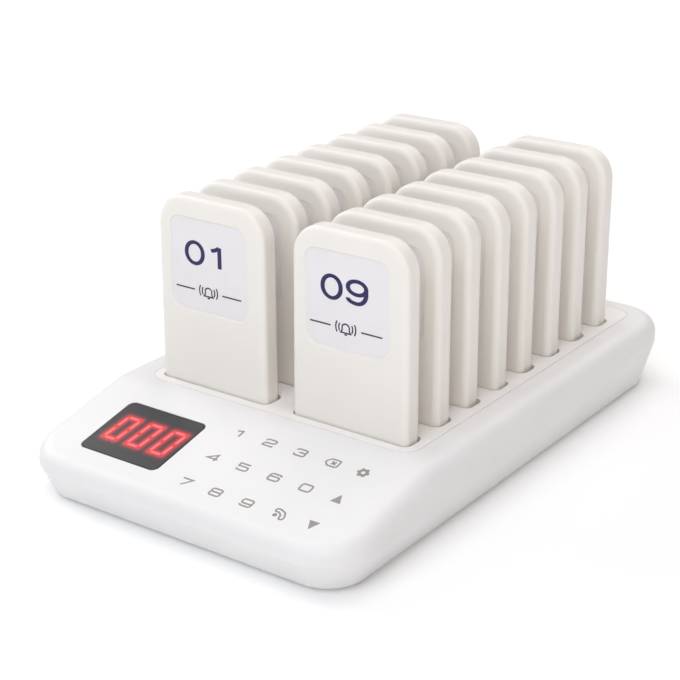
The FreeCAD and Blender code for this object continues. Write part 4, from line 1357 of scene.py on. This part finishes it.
@dataclass
class Keypad:
    """Fifteen printed touch keys on the sloped deck, in millimetres.

    Attributes:
        deck: The deck's surface about the level deck's front end, with up pointing up the slope.
        first: Place of the first column and the first row, right and down the slope.
        pitch: Distance between columns and between rows.
        style: The digits.
        line: Width of the symbols' lines.
        rows: What each row has, from the upper end of the deck down.
    """

    deck: Surface
    first: Flat = (-2.0, 13.0)
    pitch: Flat = (14.6, 16.8)
    style: DigitStyle = DigitStyle(4.7, 3.8, 1.0, 0.8)
    line: float = 0.75
    rows: tuple[tuple[str | Key, ...], ...] = (
        ("1", "2", "3", Key.ERASE, Key.SETTINGS),
        ("4", "5", "6", "0", Key.UP),
        ("7", "8", "9", Key.CALL, Key.DOWN),
    )

    def build(self) -> None:
        """Prints the fifteen legends."""
        for row, keys in enumerate(self.rows):
            for column, key in enumerate(keys):
                place = self.deck.moved(self.first[0] + column * self.pitch[0],
                                        -(self.first[1] + row * self.pitch[1]))
                name = key.value if isinstance(key, Key) else key
                add_piece(f"legend_{name}", self.legend_mesh(key, place), LEGEND_INK, "base")

    def legend_mesh(self, key: str | Key, place: Surface) -> bpy.types.Mesh:
        """Prints one legend.

        Args:
            key: A digit or a symbol.
            place: Where its middle goes.

        Returns:
            The mesh.
        """
        bm = bmesh.new()
        match key:
            case Key.ERASE:
                self.draw_erase(bm, place)
            case Key.SETTINGS:
                self.draw_gear(bm, place)
            case Key.UP:
                self.draw_arrow(bm, place, 1)
            case Key.DOWN:
                self.draw_arrow(bm, place, -1)
            case Key.CALL:
                self.draw_handset(bm, place)
            case _:
                self.style.draw(bm, key, place)
        return to_mesh(bm, f"legend_{key}")

    def draw_erase(self, bm: bmesh.types.BMesh, place: Surface) -> None:
        """Draws a tag that points left, with a cross in it.

        Args:
            bm: Where it goes.
            place: The key's middle.
        """
        width, height, corner, arm, middle = 6.0, 4.1, 1.1, 0.9, 0.75
        pen = Pen(self.line)
        tag = Stroke(((0.0, 0.5, 0.9), (0.3, 0.0, 1.2), (1.0, 0.0, 0.8), (1.0, 1.0, 0.8),
                      (0.3, 1.0, 1.2)), closed=True)
        pen.draw(bm, tag.path(width, height, corner), True, place)
        for up in (-1, 1):
            pen.draw(bm, [(middle - arm, -up * arm), (middle + arm, up * arm)], False, place)

    def draw_gear(self, bm: bmesh.types.BMesh, place: Surface) -> None:
        """Draws a solid gear wheel with six teeth and a round hole.

        Args:
            bm: Where it goes.
            place: The key's middle.
        """
        teeth, steepness, valley, tip, hole, around = 6, 1.9, 2.1, 2.62, 0.85, 72
        shift = (-0.55, -0.1)
        place = place.moved(*shift)
        outer, inner = [], []
        for step in range(around):
            angle = 2 * math.pi * step / around
            wave = max(-1.0, min(1.0, math.cos(teeth * angle) * steepness))
            reach = valley + (tip - valley) * (0.5 + 0.5 * wave)
            outer.append(Outline.on_arc((0.0, 0.0), reach, angle))
            inner.append(Outline.on_arc((0.0, 0.0), hole, angle))
        rings = [[[bm.verts.new(point) for point in place.loop(ring, height)]
                  for ring in (outer, inner)] for height in Pen(self.line).heights]
        (low_outer, low_inner), (high_outer, high_inner) = rings
        walls = ((low_outer, high_outer), (high_outer, high_inner), (high_inner, low_inner),
                 (low_inner, low_outer))
        for step in range(around):
            after = (step + 1) % around
            for one, other in walls:
                bm.faces.new((one[step], one[after], other[after], other[step]))

    def draw_arrow(self, bm: bmesh.types.BMesh, place: Surface, way: int) -> None:
        """Draws a solid triangle that points up or down the slope.

        Args:
            bm: Where it goes.
            place: The key's middle.
            way: 1 for up the slope, -1 for down it.
        """
        half, tall = 2.25, 2.35
        add_prism(bm, [(-half, -way * tall), (half, -way * tall), (0.0, way * tall)], place,
                  Pen(self.line).heights)

    def draw_handset(self, bm: bmesh.types.BMesh, place: Surface) -> None:
        """Draws the outline of a bent telephone handset with a dot in its bow.

        Args:
            bm: Where it goes.
            place: The key's middle.
        """
        width, height, corner, corner_steps = 5.6, 5.1, 1.0, 4
        shift, dot_middle, dot_radius, dot_step = (0.3, 0.05), (-1.1, -0.95), 0.95, 24
        pen = Pen(self.line)
        handset = Stroke(((0.0, 0.75, 0.6), (0.07, 0.98, 0.6), (0.3, 1.0, 0.6), (0.79, 0.8, 1.8),
                          (1.0, 0.31, 0.8), (0.96, 0.06, 0.6), (0.75, 0.0, 0.6), (0.64, 0.22, 0.5),
                          (0.66, 0.37, 0.5), (0.5, 0.57, 0.9), (0.32, 0.69, 0.5),
                          (0.18, 0.63, 0.5)), closed=True)
        pen.draw(bm, handset.path(width, height, corner, corner_steps), True, place.moved(*shift))
        dot = [Outline.on_arc(dot_middle, dot_radius, math.radians(angle))
               for angle in range(0, 360, dot_step)]
        add_prism(bm, dot, place, pen.heights)


# ---------------------------------------------------------------------------------------------
# Base
# ---------------------------------------------------------------------------------------------

@dataclass
class ChargingBase:
    """The base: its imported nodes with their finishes, its display and its keypad.

    Attributes:
        insert_corner: Radius of the dock insert's corners, mm.
        seam: Gap round the insert, mm.
        seal_depth: Top of the seal in that gap, below the deck, mm.
    """

    insert_corner: float = 8.0
    seam: float = 0.35
    seal_depth: float = 0.2

    def build(self) -> None:
        """Dresses the nodes and adds the seal and what is printed and lit."""
        for name, finish in NODE_FINISHES.items():
            dress_node(name, finish)
        self.add_seal()
        window = self.window_surface()
        low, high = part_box("display_window")
        Display(window, (high.x - low.x) / MM, self.along_slope(high.y - low.y, window)).build()
        Keypad(self.deck_end(window)).build()

    def add_seal(self) -> None:
        """Lays the soft seal in the seam between the dock insert and the top casing."""
        play, tall, rim = 0.04, 0.8, 1.0
        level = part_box("top_casing")[1].z
        edge = [vertex.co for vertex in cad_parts["dock_insert"].data.vertices
                if vertex.co.z > level - rim * MM]
        left, right = [pick(spot.x for spot in edge) for pick in (min, max)]
        front, rear = [pick(spot.y for spot in edge) for pick in (min, max)]
        outline = Outline.rounded((right - left) / MM, (rear - front) / MM, self.insert_corner)
        place = Surface(Vector(((left + right) / 2, (front + rear) / 2, level)), RIGHT, BACK)
        strip = Pen(self.seam - 2 * play, layer=tall, lift=-self.seal_depth - tall)
        bm = bmesh.new()
        strip.draw(bm, outline.loop(-self.seam / 2), True, place)
        add_piece("insert_seal", to_mesh(bm, "insert_seal"), SEAM_SEAL, "base")

    @staticmethod
    def window_surface() -> Surface:
        """Finds the window's upper face in the frame.

        Returns:
            That face about its middle, with up pointing up the slope.
        """
        # Of the faces that look up, the highest one counts, and its area only between equals.
        facing_up, height_weight, level_with = 0.9, 1e3, 0.01 * MM
        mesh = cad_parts["display_window"].data
        face = max((polygon for polygon in mesh.polygons if polygon.normal.z > facing_up),
                   key=lambda polygon: (polygon.center.dot(polygon.normal) * height_weight
                                        + polygon.area))
        up = face.normal.cross(RIGHT).normalized()
        low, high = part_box("display_window")
        along = [mesh.vertices[index].co.dot(up) for polygon in mesh.polygons
                 if abs((polygon.center - face.center).dot(face.normal)) < level_with
                 for index in polygon.vertices]
        middle_up = (min(along) + max(along)) / 2
        height = face.center.dot(face.normal)
        origin = RIGHT * (low.x + high.x) / 2 + up * middle_up + face.normal * height
        return Surface(origin, RIGHT, up)

    @staticmethod
    def along_slope(depth: float, window: Surface) -> float:
        """Works out how long the window is down the slope.

        Args:
            depth: Depth of its upright box, metres.
            window: Its upper face.

        Returns:
            The length, mm.
        """
        tilt = math.atan(window.up.z / window.up.y)
        return (depth / MM - Display.thickness * math.sin(tilt)) / math.cos(tilt)

    @staticmethod
    def deck_end(window: Surface) -> Surface:
        """Slides the window's surface up the slope to the level deck, at the base's middle.

        Args:
            window: The window's surface.

        Returns:
            The keypad deck's surface at its upper end.
        """
        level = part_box("top_casing")[1].z
        reach = (level - window.origin.z) / window.up.z
        origin = window.origin + window.up * reach
        origin.x = 0.0
        return Surface(origin, window.across, window.up)


# ---------------------------------------------------------------------------------------------
# Studio
# ---------------------------------------------------------------------------------------------

@dataclass(frozen=True)
class Softbox:
    """A square area light.

    Attributes:
        name: Its name.
        place: Where it stands, metres.
        size: Its side, metres.
        watts: Its power.
        colour: Its colour, sRGB hex.
    """

    name: str
    place: tuple[float, float, float]
    size: float
    watts: float
    colour: str = "#FFFFFF"

    def build(self, target: Vector) -> None:
        """Hangs the light and turns it to a point.

        Args:
            target: The point, metres.
        """
        light = bpy.data.lights.new(self.name, "AREA")
        light.shape = "SQUARE"
        light.size = self.size
        light.energy = self.watts
        light.color = linear(self.colour)[:3]
        lamp = bpy.data.objects.new(self.name, light)
        lamp.location = self.place
        lamp.rotation_euler = (target - lamp.location).to_track_quat("-Z", "Y").to_euler()
        bpy.context.scene.collection.objects.link(lamp)


@dataclass
class Studio:
    """A white table in a white room, five soft lights and the camera.

    Attributes:
        target: What the camera looks at, mm.
        azimuth: Camera's turn to the right of the front, degrees.
        elevation: Camera's height above the horizon, degrees.
        distance: Camera to target, mm.
        focal_pixels: Focal length in pixels of a square picture.
        picture: Side of that picture, pixels.
        sensor: Width of the sensor, mm.
    """

    target: tuple[float, float, float] = (-22.87, 11.6, 32.0)
    azimuth: float = 35.664
    elevation: float = 21.948
    distance: float = 732.5
    focal_pixels: float = 1688.5
    picture: float = 680.0
    sensor: float = 36.0
    lights: tuple[Softbox, ...] = (
        Softbox("overhead_softbox", (0.0, 0.1, 1.6), 1.5, 11.6, "#FFFBFB"),
        Softbox("front_softbox", (0.05, -1.3, 1.3), 1.2, 10.3, "#E8F4FF"),
        Softbox("front_right_softbox", (1.1, -1.2, 1.1), 1.2, 9.4, "#FFF6EE"),
        Softbox("left_softbox", (-1.5, 0.1, 1.0), 1.2, 11.9, "#FFFDFB"),
        Softbox("rear_softbox", (-0.1, 1.5, 1.2), 1.2, 6.5, "#FFF8F2"),
    )

    def build(self) -> None:
        """Sets up the floor, the light and the camera."""
        self.add_floor()
        self.add_world()
        aim = Vector(self.target) * MM
        for light in self.lights:
            light.build(aim)
        self.add_camera(aim)
        bpy.context.scene.view_settings.view_transform = "Standard"
        log.info("studio: floor, %d lights and camera", len(self.lights))

    def add_floor(self) -> None:
        """Lays a wide white table top under the feet."""
        half = 6.0
        bm = bmesh.new()
        corners = ((-half, -half), (half, -half), (half, half), (-half, half))
        bm.faces.new([bm.verts.new((x, y, 0.0)) for x, y in corners])
        mesh = to_mesh(bm, "table_top")
        mesh.materials.append(PAINTED_GLOW_TABLE.material())
        floor = bpy.data.objects.new("table_top", mesh)
        bpy.context.scene.collection.objects.link(floor)

    def add_world(self) -> None:
        """Fills the room with dim white light, and with bright light along its horizon."""
        band, bright, dim = 0.05, 1.0, 0.19
        world = bpy.data.worlds.new("white_room")
        bpy.context.scene.world = world
        world.use_nodes = True
        tree = world.node_tree
        tree.nodes.clear()
        way = add_node(tree, "ShaderNodeTexCoord").outputs["Generated"]
        height = add_node(tree, "ShaderNodeSeparateXYZ", links={"Vector": way}).outputs["Z"]
        level = add_node(tree, "ShaderNodeMapRange",
                         {"From Min": 0.0, "From Max": band, "To Min": bright, "To Max": dim},
                         {"Value": height})
        background = add_node(tree, "ShaderNodeBackground", {"Color": linear("#FDFDFF")},
                              {"Strength": level.outputs["Result"]})
        add_node(tree, "ShaderNodeOutputWorld", links={"Surface": background.outputs["Background"]})

    def add_camera(self, aim: Vector) -> None:
        """Stands the camera on its line to the target.

        Args:
            aim: The target, in metres.
        """
        turn, rise = math.radians(self.azimuth), math.radians(self.elevation)
        back = Vector((math.sin(turn) * math.cos(rise), -math.cos(turn) * math.cos(rise),
                       math.sin(rise)))
        camera = bpy.data.cameras.new("camera")
        camera.sensor_width = self.sensor
        camera.lens = self.focal_pixels / self.picture * self.sensor
        stand = bpy.data.objects.new("camera", camera)
        stand.location = aim + back * self.distance * MM
        stand.rotation_euler = (-back).to_track_quat("-Z", "Y").to_euler()
        bpy.context.scene.collection.objects.link(stand)
        bpy.context.scene.camera = stand


def main() -> None:
    """Builds the studio, the base and the pagers."""
    logging.basicConfig(level=logging.INFO, format="%(message)s")
    Studio().build()
    ChargingBase().build()
    PagerSet().build()


if __name__ == "__main__":
    main()
